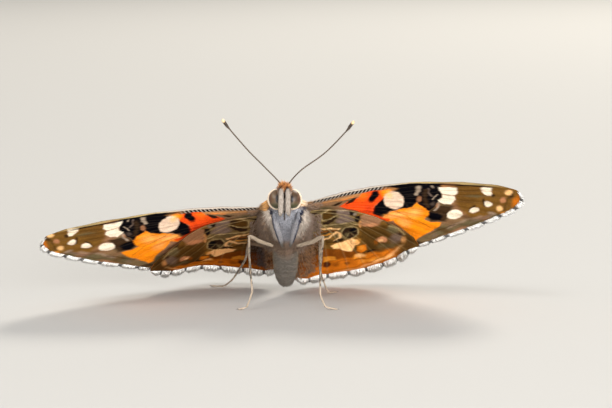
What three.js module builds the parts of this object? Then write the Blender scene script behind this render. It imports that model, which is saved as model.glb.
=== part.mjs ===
// Painted lady butterfly at rest with its wings spread, life-size, in millimetres.
// +X is the butterfly's left side, it faces -Y, and +Z is up. It stands on four feet at z = 0.
import * as THREE from 'three';

// Driving dimensions
const FOREWING_LENGTH = 27.4;
const HIND_REACH = 15;
const WING_FOLD = 0.8;
const WING_THICKNESS = 0.5;
const MARGIN_THICKNESS = 0.34;
const WING_OFFSET = 0.86;
const VEIN_HEIGHT = 0.2;
const VEIN_HALF_WIDTH = 0.26;
const MEMBRANE_SAG = 0.1;
const GAP = 0.3;

// Where the wings join the thorax, and how each side is held
const WING_ROOT = { x: 2.4, y: 1.0 };
const POSES = {
  right: { side: -1, rootZ: 12.15, pitch: 31, dihedral: -11, bow: 0.55, reach: 1, hindRise: 1.8 },
  left: { side: 1, rootZ: 12.65, pitch: 35, dihedral: 0.8, bow: 1.2, reach: 0.965, hindRise: 0.65 },
};

// Body sizes, along an axis that rises towards the head
const BODY_PITCH = 38;
const THORAX = { y: 1.5, z: 10.6, length: 6.3, halfWidth: 2.95, halfHeight: 2.6 };
const ABDOMEN = { length: 9.3, pitch: 46, halfWidth: 1.62, halfHeight: 1.5, segments: 7 };
const HEAD = { y: -2.75, z: 13.85, pitch: 24, halfWidth: 0.84, halfHeight: 1.5, halfDepth: 1.35 };
const EYE = { inner: 1.14, outer: 2.02, halfHeight: 1.24, halfDepth: 0.98 };

const rad = THREE.MathUtils.degToRad;
const vec = (x, y, z) => new THREE.Vector3(x, y, z);

function finish(color, roughness, metalness = 0) {
  return new THREE.MeshStandardMaterial({ color, roughness, metalness });
}

// Colours of the living butterfly
const FINISH = {
  fur: finish('#8a7a68', 0.9),
  eye: finish('#7e6a60', 0.35),
  palp: finish('#a8a8b0', 0.9),
  proboscis: finish('#2c1c14', 0.5),
  antenna: finish('#3a2a20', 0.6),
  leg: finish('#8e8274', 0.7),
  forewing: finish('#d9822e', 0.7),
  hindwing: finish('#8a6236', 0.7),
};

// A closed mesh from points and triangles, with its faces turned outwards
function solid(name, points, faces, material) {
  let volume = 0;
  for (const [a, b, c] of faces) {
    volume += points[a].dot(points[b].clone().cross(points[c]));
  }
  const turned = volume < 0 ? faces.map(([a, b, c]) => [a, c, b]) : faces;
  const geometry = new THREE.BufferGeometry().setFromPoints(points);
  geometry.setIndex(turned.flat());
  geometry.computeVertexNormals();
  const mesh = new THREE.Mesh(geometry, material);
  mesh.name = name;
  return mesh;
}

// A closed skin through rings of points, with a flat fan over each end
function loft(name, rings, material) {
  const count = rings[0].length;
  const points = rings.flat();
  const faces = [];
  for (let r = 0; r < rings.length - 1; r++) {
    for (let i = 0; i < count; i++) {
      const next = (i + 1) % count;
      const a = r * count + i;
      const b = r * count + next;
      faces.push([a, b, b + count], [a, b + count, a + count]);
    }
  }
  for (const [r, turn] of [[0, false], [rings.length - 1, true]]) {
    const centre = points.length;
    const middle = vec(0, 0, 0);
    rings[r].forEach((p) => middle.addScaledVector(p, 1 / count));
    points.push(middle);
    for (let i = 0; i < count; i++) {
      const a = r * count + i;
      const b = r * count + ((i + 1) % count);
      faces.push(turn ? [centre, a, b] : [centre, b, a]);
    }
  }
  return solid(name, points, faces, material);
}

// One ring of a body that runs along Y: an oval with fuller or flatter shoulders
function ovalRing(y, z, halfWidth, halfHeight, sides, fullness = 2) {
  const ring = [];
  for (let i = 0; i < sides; i++) {
    const angle = (2 * Math.PI * (i + 0.5)) / sides;
    const across = Math.sign(Math.cos(angle)) * Math.abs(Math.cos(angle)) ** (2 / fullness);
    const upward = Math.sign(Math.sin(angle)) * Math.abs(Math.sin(angle)) ** (2 / fullness);
    ring.push(vec(halfWidth * across, y, z + halfHeight * upward));
  }
  return ring;
}

// A round limb through points, each with its own radius, never below the floor
function limb(name, stations, material, sides = 6, steps = 14, floor = -Infinity) {
  const path = new THREE.CatmullRomCurve3(stations.map((s) => vec(...s.at)), false, 'centripetal');
  const frames = path.computeFrenetFrames(steps, false);
  const rings = [];
  for (let i = 0; i <= steps; i++) {
    const t = i / steps;
    const centre = path.getPoint(path.getUtoTmapping(t));
    const place = path.getUtoTmapping(t) * (stations.length - 1);
    const low = Math.min(Math.floor(place), stations.length - 2);
    const radius = THREE.MathUtils.lerp(stations[low].r, stations[low + 1].r, place - low);
    const ring = [];
    for (let k = 0; k < sides; k++) {
      const angle = (2 * Math.PI * k) / sides;
      const point = centre.clone();
      point.addScaledVector(frames.normals[i], radius * Math.cos(angle));
      point.addScaledVector(frames.binormals[i], radius * Math.sin(angle));
      point.z = Math.max(point.z, floor);
      ring.push(point);
    }
    rings.push(ring);
  }
  return loft(name, rings, material);
}

// Wing plans, as (outward, forward) places on the wing's own plane.
// Each vein runs from the root, past the place where it leaves its stem, to the margin.
// `from` is the share of its run after which it stands up as a ridge.
const FOREWING_VEINS = [
  { name: 'costal edge', run: [[1.1, 0.45], [7.4, 1.95], [14.5, 2.7]], from: 0 },
  { name: 'first radial', run: [[1.1, 0.25], [8.4, 1.2], [19.4, 2.85]], from: 0 },
  { name: 'radial stem', run: [[1.1, 0.05], [11.4, 0.75], [23.6, 2.6]], from: 0 },
  { name: 'fourth radial', run: [[1.1, -0.1], [12.2, 0.25], [26.3, 1.65]], from: 0.5 },
  { name: 'fifth radial', run: [[1.1, -0.25], [12.5, -0.15], [27.4, 0.05]], from: 0.5 },
  { name: 'first medial', run: [[1.1, -0.4], [12.6, -0.8], [26.9, -2.0]], from: 0.5 },
  { name: 'second medial', run: [[1.1, -0.55], [12.5, -1.9], [25.2, -4.2]], from: 0.5 },
  { name: 'third medial', run: [[1.1, -0.75], [12.0, -3.4], [23.3, -6.4]], from: 0 },
  { name: 'first cubital', run: [[1.1, -0.95], [10.7, -4.0], [21.2, -8.8]], from: 0.44 },
  { name: 'second cubital', run: [[1.1, -1.15], [8.7, -4.1], [18.9, -11.1]], from: 0.34 },
  { name: 'anal vein', run: [[1.1, -1.4], [8.0, -5.5], [16.9, -12.8]], from: 0 },
  { name: 'inner edge', run: [[1.1, -1.7], [7.9, -6.5], [16.0, -13.2]], from: 0 },
];
const HINDWING_VEINS = [
  { name: 'costal edge', run: [[1.1, -0.55], [7.6, -3.1], [14.0, -10.2]], from: 0 },
  { name: 'subcostal vein', run: [[1.1, -0.95], [6.6, -4.0], [14.8, -12.7]], from: 0 },
  { name: 'radial sector', run: [[1.1, -1.35], [6.6, -5.2], [14.2, -15.1]], from: 0.3 },
  { name: 'first medial', run: [[1.1, -1.75], [6.6, -6.5], [12.7, -17.1]], from: 0.45 },
  { name: 'second medial', run: [[1.1, -2.15], [6.0, -8.0], [10.7, -18.7]], from: 0.48 },
  { name: 'third medial', run: [[1.1, -2.55], [5.1, -9.2], [8.4, -19.9]], from: 0.48 },
  { name: 'first cubital', run: [[1.1, -2.95], [4.1, -9.5], [5.9, -20.6]], from: 0 },
  { name: 'second cubital', run: [[1.1, -3.35], [2.5, -9.3], [3.0, -20.9]], from: 0.4 },
  { name: 'anal vein', run: [[1.1, -3.75], [0.8, -9.6], [0.45, -20.3]], from: 0 },
  { name: 'inner edge', run: [[1.1, -4.2], [-0.7, -9.8], [-1.3, -18.2]], from: 0 },
];

// Rings across a wing, as shares of each vein's run; three lie close over the cross-vein
const CELL_END = 0.5;
const WING_RINGS = [0, 0.09, 0.2, 0.33, 0.45, CELL_END, 0.55, 0.66, 0.78, 0.9, 1];

// A point on a vein: a smooth bend through its root, its branch and its end
function alongVein(vein, share) {
  const [root, branch, end] = vein.run.map(([u, v]) => new THREE.Vector2(u, v));
  const spread = 2 * CELL_END * (1 - CELL_END);
  const bend = branch.clone().addScaledVector(root, -((1 - CELL_END) ** 2));
  bend.addScaledVector(end, -(CELL_END ** 2)).divideScalar(spread);
  return new THREE.QuadraticBezierCurve(root, bend, end, 2).getPoint(share);
}

// How far a vein stands up at this share of its run
function ridge(vein, share) {
  const risen = THREE.MathUtils.smoothstep(share, vein.from - 0.08, vein.from + 0.04);
  return vein.from === 0 ? 1 - 0.45 * share : risen * (1 - 0.45 * share);
}

// The columns of a wing's mesh: each vein's crest with a flank on either side, and the middle of
// each wide space. Every column gives its place and its ridge height on one ring.
function wingRing(veins, share, crossVein) {
  const spots = veins.map((vein) => alongVein(vein, share));
  const columns = [];
  const between = (k, part) => spots[k].clone().lerp(spots[k + 1], part);
  veins.forEach((vein, k) => {
    const edge = k === 0 || k === veins.length - 1;
    const inCell = k >= crossVein.first && k < crossVein.last;
    const crossing = inCell && Math.abs(share - CELL_END) < 0.01 ? 0.8 : 0;
    const crest = edge ? 0.35 : Math.max(ridge(vein, share), k > crossVein.first ? crossing : 0);
    columns.push({ spot: spots[k], raise: crest, sag: 0 });
    if (k === veins.length - 1) {
      return;
    }
    const width = spots[k].distanceTo(spots[k + 1]);
    const flank = Math.min(0.32, VEIN_HALF_WIDTH / width);
    columns.push({ spot: between(k, flank), raise: crossing * 0.8, sag: 0.3 });
    if (veins[k + 1].name !== 'fifth radial' && k > 1) {
      columns.push({ spot: between(k, 0.5), raise: crossing, sag: 1 });
    }
    columns.push({ spot: between(k, 1 - flank), raise: crossing * 0.8, sag: 0.3 });
  });
  return columns;
}

// A wing as one closed plate. Both faces have the same triangles, and the veins are raised in them.
// `hides(u, v)` is 1 where the other wing lies close against this face, so that no vein rises there.
function wing(name, pose, veins, crossVein, hides, lift, material) {
  const grid = WING_RINGS.map((share) => wingRing(veins, share, crossVein));
  const columns = grid[0].length;
  const points = [];
  for (const face of [1, -1]) {
    grid.forEach((ring, r) => {
      const thinning = THREE.MathUtils.smoothstep(WING_RINGS[r], 0.8, 1);
      const half = THREE.MathUtils.lerp(WING_THICKNESS, MARGIN_THICKNESS, thinning) / 2;
      const inner = THREE.MathUtils.smoothstep(WING_RINGS[r], 0.1, 0.4);
      for (const { spot, raise, sag } of ring) {
        const shown = 1 - hides(spot.x, spot.y, face);
        const dip = -MEMBRANE_SAG * sag * inner * (1 - thinning);
        const height = lift(spot.x, spot.y) + dip + face * (half + raise * VEIN_HEIGHT * shown * inner);
        points.push(vec(pose.side * pose.reach * spot.x, -spot.y, height));
      }
    });
  }
  const lower = WING_RINGS.length * columns;
  const faces = [];
  const quad = (a, b, c, d) => faces.push([a, b, c], [a, c, d]);
  for (let r = 0; r < WING_RINGS.length - 1; r++) {
    for (let c = 0; c < columns - 1; c++) {
      const a = r * columns + c;
      quad(a, a + 1, a + columns + 1, a + columns);
      faces.push([lower + a, lower + a + columns + 1, lower + a + 1]);
      faces.push([lower + a, lower + a + columns, lower + a + columns + 1]);
    }
    for (const [c, turn] of [[0, true], [columns - 1, false]]) {
      const a = r * columns + c;
      const b = a + columns;
      turn ? quad(a, b, lower + b, lower + a) : quad(a, lower + a, lower + b, b);
    }
  }
  for (let c = 0; c < columns - 1; c++) {
    const last = (WING_RINGS.length - 1) * columns + c;
    quad(c, lower + c, lower + c + 1, c + 1);
    quad(last, last + 1, lower + last + 1, lower + last);
  }
  return solid(name, points, faces, material);
}

// The two wings of a side lie over each other between the hindwing's front edge and the
// forewing's back edge. There the facing sides stay smooth.
const foreBackEdge = (u) => -1.7 - 0.772 * (u - 1.1);
const hindFrontEdge = (u) => -0.35 - 0.16 * u - 0.038 * u * u;

const pastThorax = (v) => THREE.MathUtils.smoothstep(-v, 3.5, 8);

function foreHides(u, v, face) {
  return face < 0 ? THREE.MathUtils.smoothstep(hindFrontEdge(u) + 1.1 - v, 0, 0.6) : 0;
}

function hindHides(u, v, face) {
  return face > 0 ? THREE.MathUtils.smoothstep(v - foreBackEdge(u) + 1.6, 0, 0.6) : 0;
}

function wingPair(label, pose) {
  // A wing bows along its span. Behind the forewing the hindwing lifts again, and beside the
  // abdomen its inner edge folds down.
  const bow = (u) => pose.bow * Math.sin(Math.PI * THREE.MathUtils.clamp(u / FOREWING_LENGTH, 0, 1));
  const hindLift = (u, v) => {
    const behind = THREE.MathUtils.smoothstep(foreBackEdge(u) - v, 0, HIND_REACH);
    const beside = 1 - THREE.MathUtils.smoothstep(u, -1, 2.6);
    return bow(u) - WING_OFFSET + pose.hindRise * behind - WING_FOLD * beside * pastThorax(v);
  };
  const fore = wing(`forewing_${label}`, pose, FOREWING_VEINS,
    { first: 3, last: 7 }, foreHides, bow, FINISH.forewing);
  const hind = wing(`hindwing_${label}`, pose, HINDWING_VEINS,
    { first: 2, last: 6 }, hindHides, hindLift, FINISH.hindwing);
  const plane = new THREE.Group();
  plane.position.set(pose.side * WING_ROOT.x, WING_ROOT.y, pose.rootZ);
  plane.rotation.x = -rad(pose.pitch);
  for (const mesh of [fore, hind]) {
    mesh.rotation.y = -pose.side * rad(pose.dihedral);
    plane.add(mesh);
  }
  return plane;
}

// Thorax: a deep oval barrel, fullest where the wings join it
function thorax() {
  const sides = 20;
  const steps = 10;
  const rings = [];
  for (let i = 0; i <= steps; i++) {
    const t = i / steps;
    const swell = 0.5 + 0.5 * Math.sin(Math.PI * Math.min(1, 0.12 + 0.82 * t)) ** 0.75;
    const y = (t - 0.5) * THORAX.length;
    rings.push(ovalRing(y, 0, THORAX.halfWidth * swell, THORAX.halfHeight * swell, sides, 2.15));
  }
  const mesh = loft('thorax', rings, FINISH.fur);
  mesh.position.set(0, THORAX.y, THORAX.z);
  mesh.rotation.x = -rad(BODY_PITCH);
  return mesh;
}

// Abdomen: a tapering barrel with a shallow groove between its segments
function abdomen() {
  const perSegment = 3;
  const steps = ABDOMEN.segments * perSegment;
  const rings = [];
  for (let i = 0; i <= steps; i++) {
    const t = i / steps;
    const swell = 0.3 + 0.7 * Math.sin(Math.PI * (0.2 + 0.76 * t)) ** 0.6;
    const groove = i % perSegment === 0 && i > 0 && i < steps ? 0.94 : 1;
    const size = swell * groove;
    rings.push(ovalRing(t * ABDOMEN.length, -0.25 * t * t, ABDOMEN.halfWidth * size,
      ABDOMEN.halfHeight * size, 14));
  }
  const mesh = loft('abdomen', rings, FINISH.fur);
  const rear = THORAX.length / 2 + GAP + 0.35;
  mesh.position.set(0, THORAX.y + rear * Math.cos(rad(BODY_PITCH)) - 0.1,
    THORAX.z - rear * Math.sin(rad(BODY_PITCH)) - 0.1);
  mesh.rotation.x = -rad(ABDOMEN.pitch);
  return mesh;
}

// Head, in its own tilted group with the eyes, palps, proboscis and antennae
function head() {
  const steps = 10;
  const rings = [];
  for (let i = 0; i <= steps; i++) {
    const t = i / steps;
    const swell = 0.34 + 0.66 * Math.sin(Math.PI * (0.1 + 0.8 * t)) ** 0.7;
    const y = (t * 2 - 1) * HEAD.halfDepth;
    rings.push(ovalRing(y, 0.12 * Math.cos(Math.PI * t), HEAD.halfWidth * swell,
      HEAD.halfHeight * swell, 16, 2.6));
  }
  return loft('head', rings, FINISH.fur);
}

// An eye: a dome with a flat inner face against the side of the head
function eye(label, side) {
  const rings = [];
  const domeSteps = 6;
  for (let i = 0; i < domeSteps; i++) {
    const angle = (Math.PI / 2) * (i / domeSteps);
    const out = EYE.inner + (EYE.outer - EYE.inner) * Math.sin(angle);
    const size = Math.cos(angle);
    rings.push(ovalRing(0, 0, EYE.halfDepth * size, EYE.halfHeight * size, 16, 2)
      .map((p) => vec(side * out, p.x, p.z)));
  }
  return loft(`eye_${label}`, rings, FINISH.eye);
}

// A palp: a flattened, tapering finger that runs up in front of the face
function palp(label, side) {
  const stations = [
    { x: 0.66, y: -0.95, z: -2.3, wide: 0.18, deep: 0.2 },
    { x: 0.52, y: -1.5, z: -1.95, wide: 0.3, deep: 0.34 },
    { x: 0.48, y: -1.95, z: -1.2, wide: 0.32, deep: 0.38 },
    { x: 0.48, y: -2.08, z: -0.4, wide: 0.32, deep: 0.34 },
    { x: 0.46, y: -2.12, z: 0.15, wide: 0.28, deep: 0.26 },
    { x: 0.44, y: -2.16, z: 0.5, wide: 0.17, deep: 0.13 },
  ];
  const rings = stations.map(({ x, y, z, wide, deep }) => {
    const ring = ovalRing(0, 0, wide, deep, 10, 2.3);
    return ring.map((p) => vec(side * (x + p.x), y + p.z, z + p.z * 0.25));
  });
  return loft(`palp_${label}`, rings, FINISH.palp);
}

// Proboscis: a tight flat coil below the face, thinner in its middle
function proboscis() {
  const profile = [[0, -0.14], [0.2, -0.14], [0.3, -0.24], [0.5, -0.24], [0.6, -0.12],
    [0.6, 0.12], [0.5, 0.24], [0.3, 0.24], [0.2, 0.14], [0, 0.14]];
  const geometry = new THREE.LatheGeometry(profile.map(([r, x]) => new THREE.Vector2(r, x)), 18);
  geometry.rotateZ(Math.PI / 2);
  const mesh = new THREE.Mesh(geometry, FINISH.proboscis);
  mesh.name = 'proboscis';
  mesh.position.set(0, -0.62, -2.25);
  return mesh;
}

// Antennae: long thin shafts that spread forwards and end in a slender club
const ANTENNAE = {
  right: [[-0.6, -2.95, 15.85], [-2.4, -4.3, 17.9], [-4.25, -6.0, 20.0], [-6.35, -8.6, 22.8],
    [-6.75, -9.1, 23.4], [-7.1, -9.5, 23.95]],
  left: [[0.6, -2.95, 15.85], [2.0, -4.3, 17.5], [4.75, -6.0, 19.7], [7.1, -8.6, 22.4],
    [7.6, -9.1, 23.1], [8.05, -9.5, 23.75]],
};
const ANTENNA_RADII = [0.26, 0.25, 0.25, 0.27, 0.4, 0.2];

function antenna(label) {
  const stations = ANTENNAE[label].map((at, i) => ({ at, r: ANTENNA_RADII[i] }));
  return limb(`antenna_${label}`, stations, FINISH.antenna, 6, 20);
}

// Legs, as places of the joints from the body to the foot. The first pair is small and folded
// against the chest, and the other four carry the body.
const LEG_RADII = [0.36, 0.42, 0.3, 0.3, 0.25, 0.25, 0.25, 0.22];
const FOOT_HEIGHT = 0.2;
const LEGS = {
  midleg_right: [[-1.75, 0.3, 7.55], [-3.0, -0.9, 8.5], [-4.2, -2.3, 9.3], [-4.25, -1.5, 7.2],
    [-4.15, -0.6, 4.8], [-3.95, -0.3, 2.3], [-4.6, -0.2, 0.5], [-5.6, -0.15, FOOT_HEIGHT]],
  midleg_left: [[1.75, 0.3, 7.55], [3.2, -0.9, 8.4], [4.5, -2.3, 9.2], [4.4, -1.5, 7.2],
    [4.25, -0.6, 5.0], [4.25, -0.3, 2.0], [4.9, -0.2, 0.5], [6.3, -0.15, FOOT_HEIGHT]],
  hindleg_right: [[-1.8, 3.5, 6.85], [-3.2, 4.3, 7.3], [-4.5, 5.0, 7.3], [-4.9, 7.0, 5.2],
    [-5.7, 9.6, 3.5], [-6.7, 12.3, 1.7], [-7.9, 14.8, 0.5], [-9.6, 17.0, FOOT_HEIGHT]],
  hindleg_left: [[1.8, 3.5, 6.85], [3.0, 4.3, 7.5], [4.15, 5.0, 7.85], [4.2, 6.3, 5.7],
    [4.3, 7.7, 3.5], [4.95, 9.1, 1.35], [5.35, 10.1, 0.5], [6.4, 12.4, FOOT_HEIGHT]],
};
const FORELEG_STATIONS = [
  { at: [1.35, -1.95, 11.65], r: 0.28 },
  { at: [1.3, -2.35, 10.9], r: 0.42 },
  { at: [0.95, -1.9, 9.6], r: 0.42 },
  { at: [0.6, -1.2, 8.3], r: 0.3 },
];

function leg(name) {
  const stations = LEGS[name].map((at, i) => ({ at, r: LEG_RADII[i] }));
  return limb(name, stations, FINISH.leg, 6, 26, 0);
}

function foreleg(label, side) {
  const stations = FORELEG_STATIONS.map(({ at: [x, y, z], r }) => ({ at: [side * x, y, z], r }));
  return limb(`foreleg_${label}`, stations, FINISH.palp, 8, 8);
}

const face = new THREE.Group();
face.position.set(0, HEAD.y, HEAD.z);
face.rotation.x = -rad(HEAD.pitch);
face.add(head(), proboscis());

const butterfly = new THREE.Group();
butterfly.add(face, thorax(), abdomen());
for (const [label, pose] of Object.entries(POSES)) {
  face.add(eye(label, pose.side), palp(label, pose.side));
  butterfly.add(antenna(label), foreleg(label, pose.side), wingPair(label, pose));
}
for (const name of Object.keys(LEGS)) {
  butterfly.add(leg(name));
}

// The origin is the middle of the whole box, at floor level
butterfly.updateMatrixWorld(true);
const box = new THREE.Box3().setFromObject(butterfly, true);
const centre = box.getCenter(vec(0, 0, 0));
butterfly.position.set(-centre.x, -centre.y, -box.min.z);

export default butterfly;
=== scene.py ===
"""A painted lady butterfly: its skins, wings and coat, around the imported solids.

Shapes are worked out in millimetres in the solids' own design frame, where the butterfly faces -Y
and +X is its left side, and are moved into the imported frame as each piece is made.
"""
import math

import bpy
import numpy as np
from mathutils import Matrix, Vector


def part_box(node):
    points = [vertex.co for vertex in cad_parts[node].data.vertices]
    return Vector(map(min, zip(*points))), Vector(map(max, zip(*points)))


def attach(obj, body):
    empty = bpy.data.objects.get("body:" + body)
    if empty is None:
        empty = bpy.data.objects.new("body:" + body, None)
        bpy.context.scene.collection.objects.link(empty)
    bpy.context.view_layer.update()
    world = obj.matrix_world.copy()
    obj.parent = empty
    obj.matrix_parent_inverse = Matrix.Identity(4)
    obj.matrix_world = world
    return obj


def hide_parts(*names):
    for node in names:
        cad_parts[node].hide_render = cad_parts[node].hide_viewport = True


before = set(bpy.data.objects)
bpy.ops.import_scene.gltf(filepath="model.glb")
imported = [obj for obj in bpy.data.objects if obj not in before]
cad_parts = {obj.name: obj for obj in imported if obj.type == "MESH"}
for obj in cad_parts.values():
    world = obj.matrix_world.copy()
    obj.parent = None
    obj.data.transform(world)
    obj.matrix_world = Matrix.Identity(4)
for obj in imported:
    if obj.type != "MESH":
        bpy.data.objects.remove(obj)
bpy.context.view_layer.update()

# Driving sizes in millimetres and degrees. The wings' planes and bows are the solids' own. How far a
# hindwing's hind part rises, next to the body and further out, is set here.
FOREWING_LENGTH = 27.4
HIND_REACH = 15
WING_FOLD = 0.8
WING_OFFSET = 0.86
WING_ROOT = (2.4, 1.0)
POSES = {
    "right": dict(side=-1, root_z=12.15, pitch=31, dihedral=-11, bow=0.55, reach=1,
                  inner_rise=0.75, outer_rise=2.5),
    "left": dict(side=1, root_z=12.65, pitch=35, dihedral=0.8, bow=1.2, reach=0.965,
                 inner_rise=0.3, outer_rise=0.3),
}
HEAD_Y = -2.75
HEAD_Z = 13.85
HEAD_PITCH = 24

# The seed of each piece's random draws, and how many tufts it has
SEEDS = dict(fringe=301, wing_hair=311, thorax=101, shoulders=106, abdomen=111, head=121, eye_rims=151,
             palp=161, foreleg=171, midleg_right=188, midleg_left=179, hindleg_right=195, hindleg_left=186)
TUFTS = dict(fringe=3000, inner_edge=1500, thorax=17000, abdomen=15000, head=6000, eye_rim=3600,
             palp=2600, foreleg=3200, leg=3800)

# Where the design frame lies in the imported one
MILLIMETRE = 0.001
eye_low, eye_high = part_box("eye_left")
chest_low, chest_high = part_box("thorax")
SHIFT = np.array([
    (chest_low.x + chest_high.x) / 2,
    (eye_low.y + eye_high.y) / 2 - HEAD_Y * MILLIMETRE,
    (eye_low.z + eye_high.z) / 2 - HEAD_Z * MILLIMETRE,
])


def packed(points):
    """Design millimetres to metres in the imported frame."""
    return np.asarray(points, float) * MILLIMETRE + SHIFT


# Colours

def linear(code):
    """A hex colour as linear red, green and blue."""
    share = np.array([int(code[i:i + 2], 16) for i in (1, 3, 5)]) / 255
    return np.where(share <= 0.04045, share / 12.92, ((share + 0.055) / 1.055) ** 2.4)


COLOURS = {name: linear(code) for name, code in {
    "black": "#09080c",
    "soot": "#2a1c12",
    "dusk": "#3c2a1a",
    "olive": "#724f21",
    "olive dark": "#4c3414",
    "sepia": "#573a18",
    "pinkish": "#91684a",
    "mauve": "#6c5a50",
    "stone": "#a08c78",
    "cream": "#e4c5aa",
    "white": "#f4e1c7",
    "amber cream": "#f4c070",
    "orange": "#f18614",
    "orange pale": "#f3a054",
    "orange deep": "#c66a16",
    "salmon": "#dc7a34",
    "red": "#ec4c18",
    "red deep": "#c03616",
    "tan": "#b07a48",
    "khaki": "#62563a",
    "rust": "#7a3f0e",
    "maroon": "#34100a",
    "amber": "#d88a2c",
    "rose": "#b47a54",
    "peach": "#ffc685",
    "vein cream": "#a18b60",
    "vein brown": "#8a5418",
    "navy": "#1d1f33",
    "taupe": "#6e5844",
    "taupe warm": "#967c68",
    "blue grey": "#95959b",
    "costa": "#a89e92",
    "pale border": "#c6b8a9",
    "abdomen grey": "#746b60",
    "abdomen tan": "#8c7554",
    "crown": "#94521f",
    "crown pale": "#d49c60",
    "shoulder": "#c8955a",
    "palp": "#a89c90",
    "palp dark": "#2a2018",
    "hair brown": "#5c4630",
    "hair gold": "#9a7640",
    "leg": "#978672",
    "leg pale": "#b3a18c",
    "leg dark": "#2e2824",
    "antenna dark": "#2c1e16",
    "antenna pale": "#9a8a78",
    "club tip": "#dcb888",
    "eye": "#56402c",
    "eye dark": "#3c2c1e",
    "eye pale": "#6c5f50",
    "eye warm": "#6a4030",
    "eye olive": "#363e26",
    "eye spot": "#140e0e",
    "fringe": "#fdfaf4",
    "fringe dark": "#2a2422",
}.items()}


# Smooth steps, curves and seeded noise

def smoothstep(x, low, high):
    share = np.clip((x - low) / (high - low), 0, 1)
    return share * share * (3 - 2 * share)


def mix(a, b, share):
    return a + (b - a) * share


def blend(a, b, share):
    """Colours, given by name or as arrays, mixed by a share for each place."""
    a, b = (COLOURS[colour] if isinstance(colour, str) else colour for colour in (a, b))
    return mix(a, b, np.asarray(share)[..., None])


def unit(vectors):
    return vectors / np.maximum(np.linalg.norm(vectors, axis=-1, keepdims=True), 1e-9)


def jitter(directions, draw, amount):
    return unit(directions + draw.normal(0, amount, directions.shape))


LATTICE = 97


def ripple(x, y, size, seed):
    """Smooth values from -1 to 1 with features about `size` across."""
    table = np.random.default_rng(seed).uniform(-1, 1, (LATTICE, LATTICE))
    gx = np.asarray(x) / size
    gy = np.asarray(y) / size
    ix = np.floor(gx).astype(int)
    iy = np.floor(gy).astype(int)
    fx = gx - ix
    fy = gy - iy
    fx = fx * fx * (3 - 2 * fx)
    fy = fy * fy * (3 - 2 * fy)
    ix, jx = ix % LATTICE, (ix + 1) % LATTICE
    iy, jy = iy % LATTICE, (iy + 1) % LATTICE
    near = table[ix, iy] * (1 - fx) + table[jx, iy] * fx
    far = table[ix, jy] * (1 - fx) + table[jx, jy] * fx
    return near * (1 - fy) + far * fy


def curve_between(before, here, there, after, share):
    """A smooth curve from `here` to `there`, which leaves and arrives as its neighbours say."""
    leave = (there - before) / 2
    arrive = (after - here) / 2
    return ((2 * share ** 3 - 3 * share ** 2 + 1) * here + (share ** 3 - 2 * share ** 2 + share) * leave
            + (3 * share ** 2 - 2 * share ** 3) * there + (share ** 3 - share ** 2) * arrive)


def curve_through(values, place):
    """A smooth curve through rows of values, read at fractional rows."""
    last = len(values) - 1
    row = np.clip(np.floor(place).astype(int), 0, last - 1)
    before = values[np.clip(row - 1, 0, last)]
    after = values[np.clip(row + 2, 0, last)]
    return curve_between(before, values[row], values[row + 1], after, (place - row)[..., None])


def running_length(points):
    """How far along a path each of its points is."""
    return np.concatenate([[0], np.cumsum(np.linalg.norm(np.diff(points, axis=0), axis=1))])


# Making pieces

def triangles_of(faces):
    if faces.shape[1] == 3:
        return faces
    return np.concatenate([faces[:, [0, 1, 2]], faces[:, [0, 2, 3]]])


def signed_volume(points, blocks):
    total = 0.0
    for block in blocks:
        a, b, c = (points[column] for column in triangles_of(block).T)
        total += np.einsum("ij,ij->i", a, np.cross(b, c)).sum()
    return total


def make_piece(name, part, material, stands_for=()):
    """A closed mesh from a part: its points in design millimetres, its blocks of faces with equal
    corner counts, and its points' paint and UVs."""
    points, blocks = part["points"], part["blocks"]
    if signed_volume(points - points.mean(axis=0), blocks) < 0:
        blocks = [block[:, ::-1] for block in blocks]
    totals = np.concatenate([np.full(len(block), block.shape[1]) for block in blocks])
    corners = np.concatenate([block.ravel() for block in blocks]).astype(np.int32)
    starts = np.concatenate([[0], np.cumsum(totals)[:-1]]).astype(np.int32)
    mesh = bpy.data.meshes.new(name)
    mesh.vertices.add(len(points))
    mesh.vertices.foreach_set("co", packed(points).ravel().astype(np.float32))
    mesh.loops.add(len(corners))
    mesh.loops.foreach_set("vertex_index", corners)
    mesh.polygons.add(len(totals))
    mesh.polygons.foreach_set("loop_start", starts)
    mesh.polygons.foreach_set("use_smooth", np.ones(len(totals), bool))
    mesh.update(calc_edges=True)
    rgba = np.ones((len(points), 4), np.float32)
    rgba[:, :3] = np.clip(part["paint"], 0, 1)
    mesh.color_attributes.new("Paint", "FLOAT_COLOR", "POINT").data.foreach_set("color", rgba.ravel())
    layer = mesh.uv_layers.new(name="OFBake")
    layer.uv.foreach_set("vector", part["uv"][corners].ravel().astype(np.float32))
    mesh.materials.append(material)
    piece = bpy.data.objects.new(name, mesh)
    bpy.context.scene.collection.objects.link(piece)
    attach(piece, "root")
    if stands_for:
        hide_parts(*stands_for)
    return piece


def grid_faces(rows, columns, closed=False, first=0):
    """Quads over a grid of points, joined round its columns where it is closed."""
    r = np.arange(rows - 1)[:, None]
    c = np.arange(columns if closed else columns - 1)[None, :]
    a = first + r * columns + c
    b = first + r * columns + (c + 1) % columns
    return np.stack([a, b, b + columns, a + columns], axis=-1).reshape(-1, 4)


def round_faces(rows, columns):
    """The faces of a round form: a grid joined round its columns, and a cap on each end."""
    ring = np.arange(columns)[None, :]
    return [grid_faces(rows, columns, closed=True), ring[:, ::-1], (rows - 1) * columns + ring]


def round_uv(share, turn):
    """The unwrap of a round form: along it by round it."""
    pair = np.broadcast_arrays(share, turn / (2 * np.pi))
    return np.stack(pair, axis=-1).reshape(-1, 2) * 0.98 + 0.01


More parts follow.
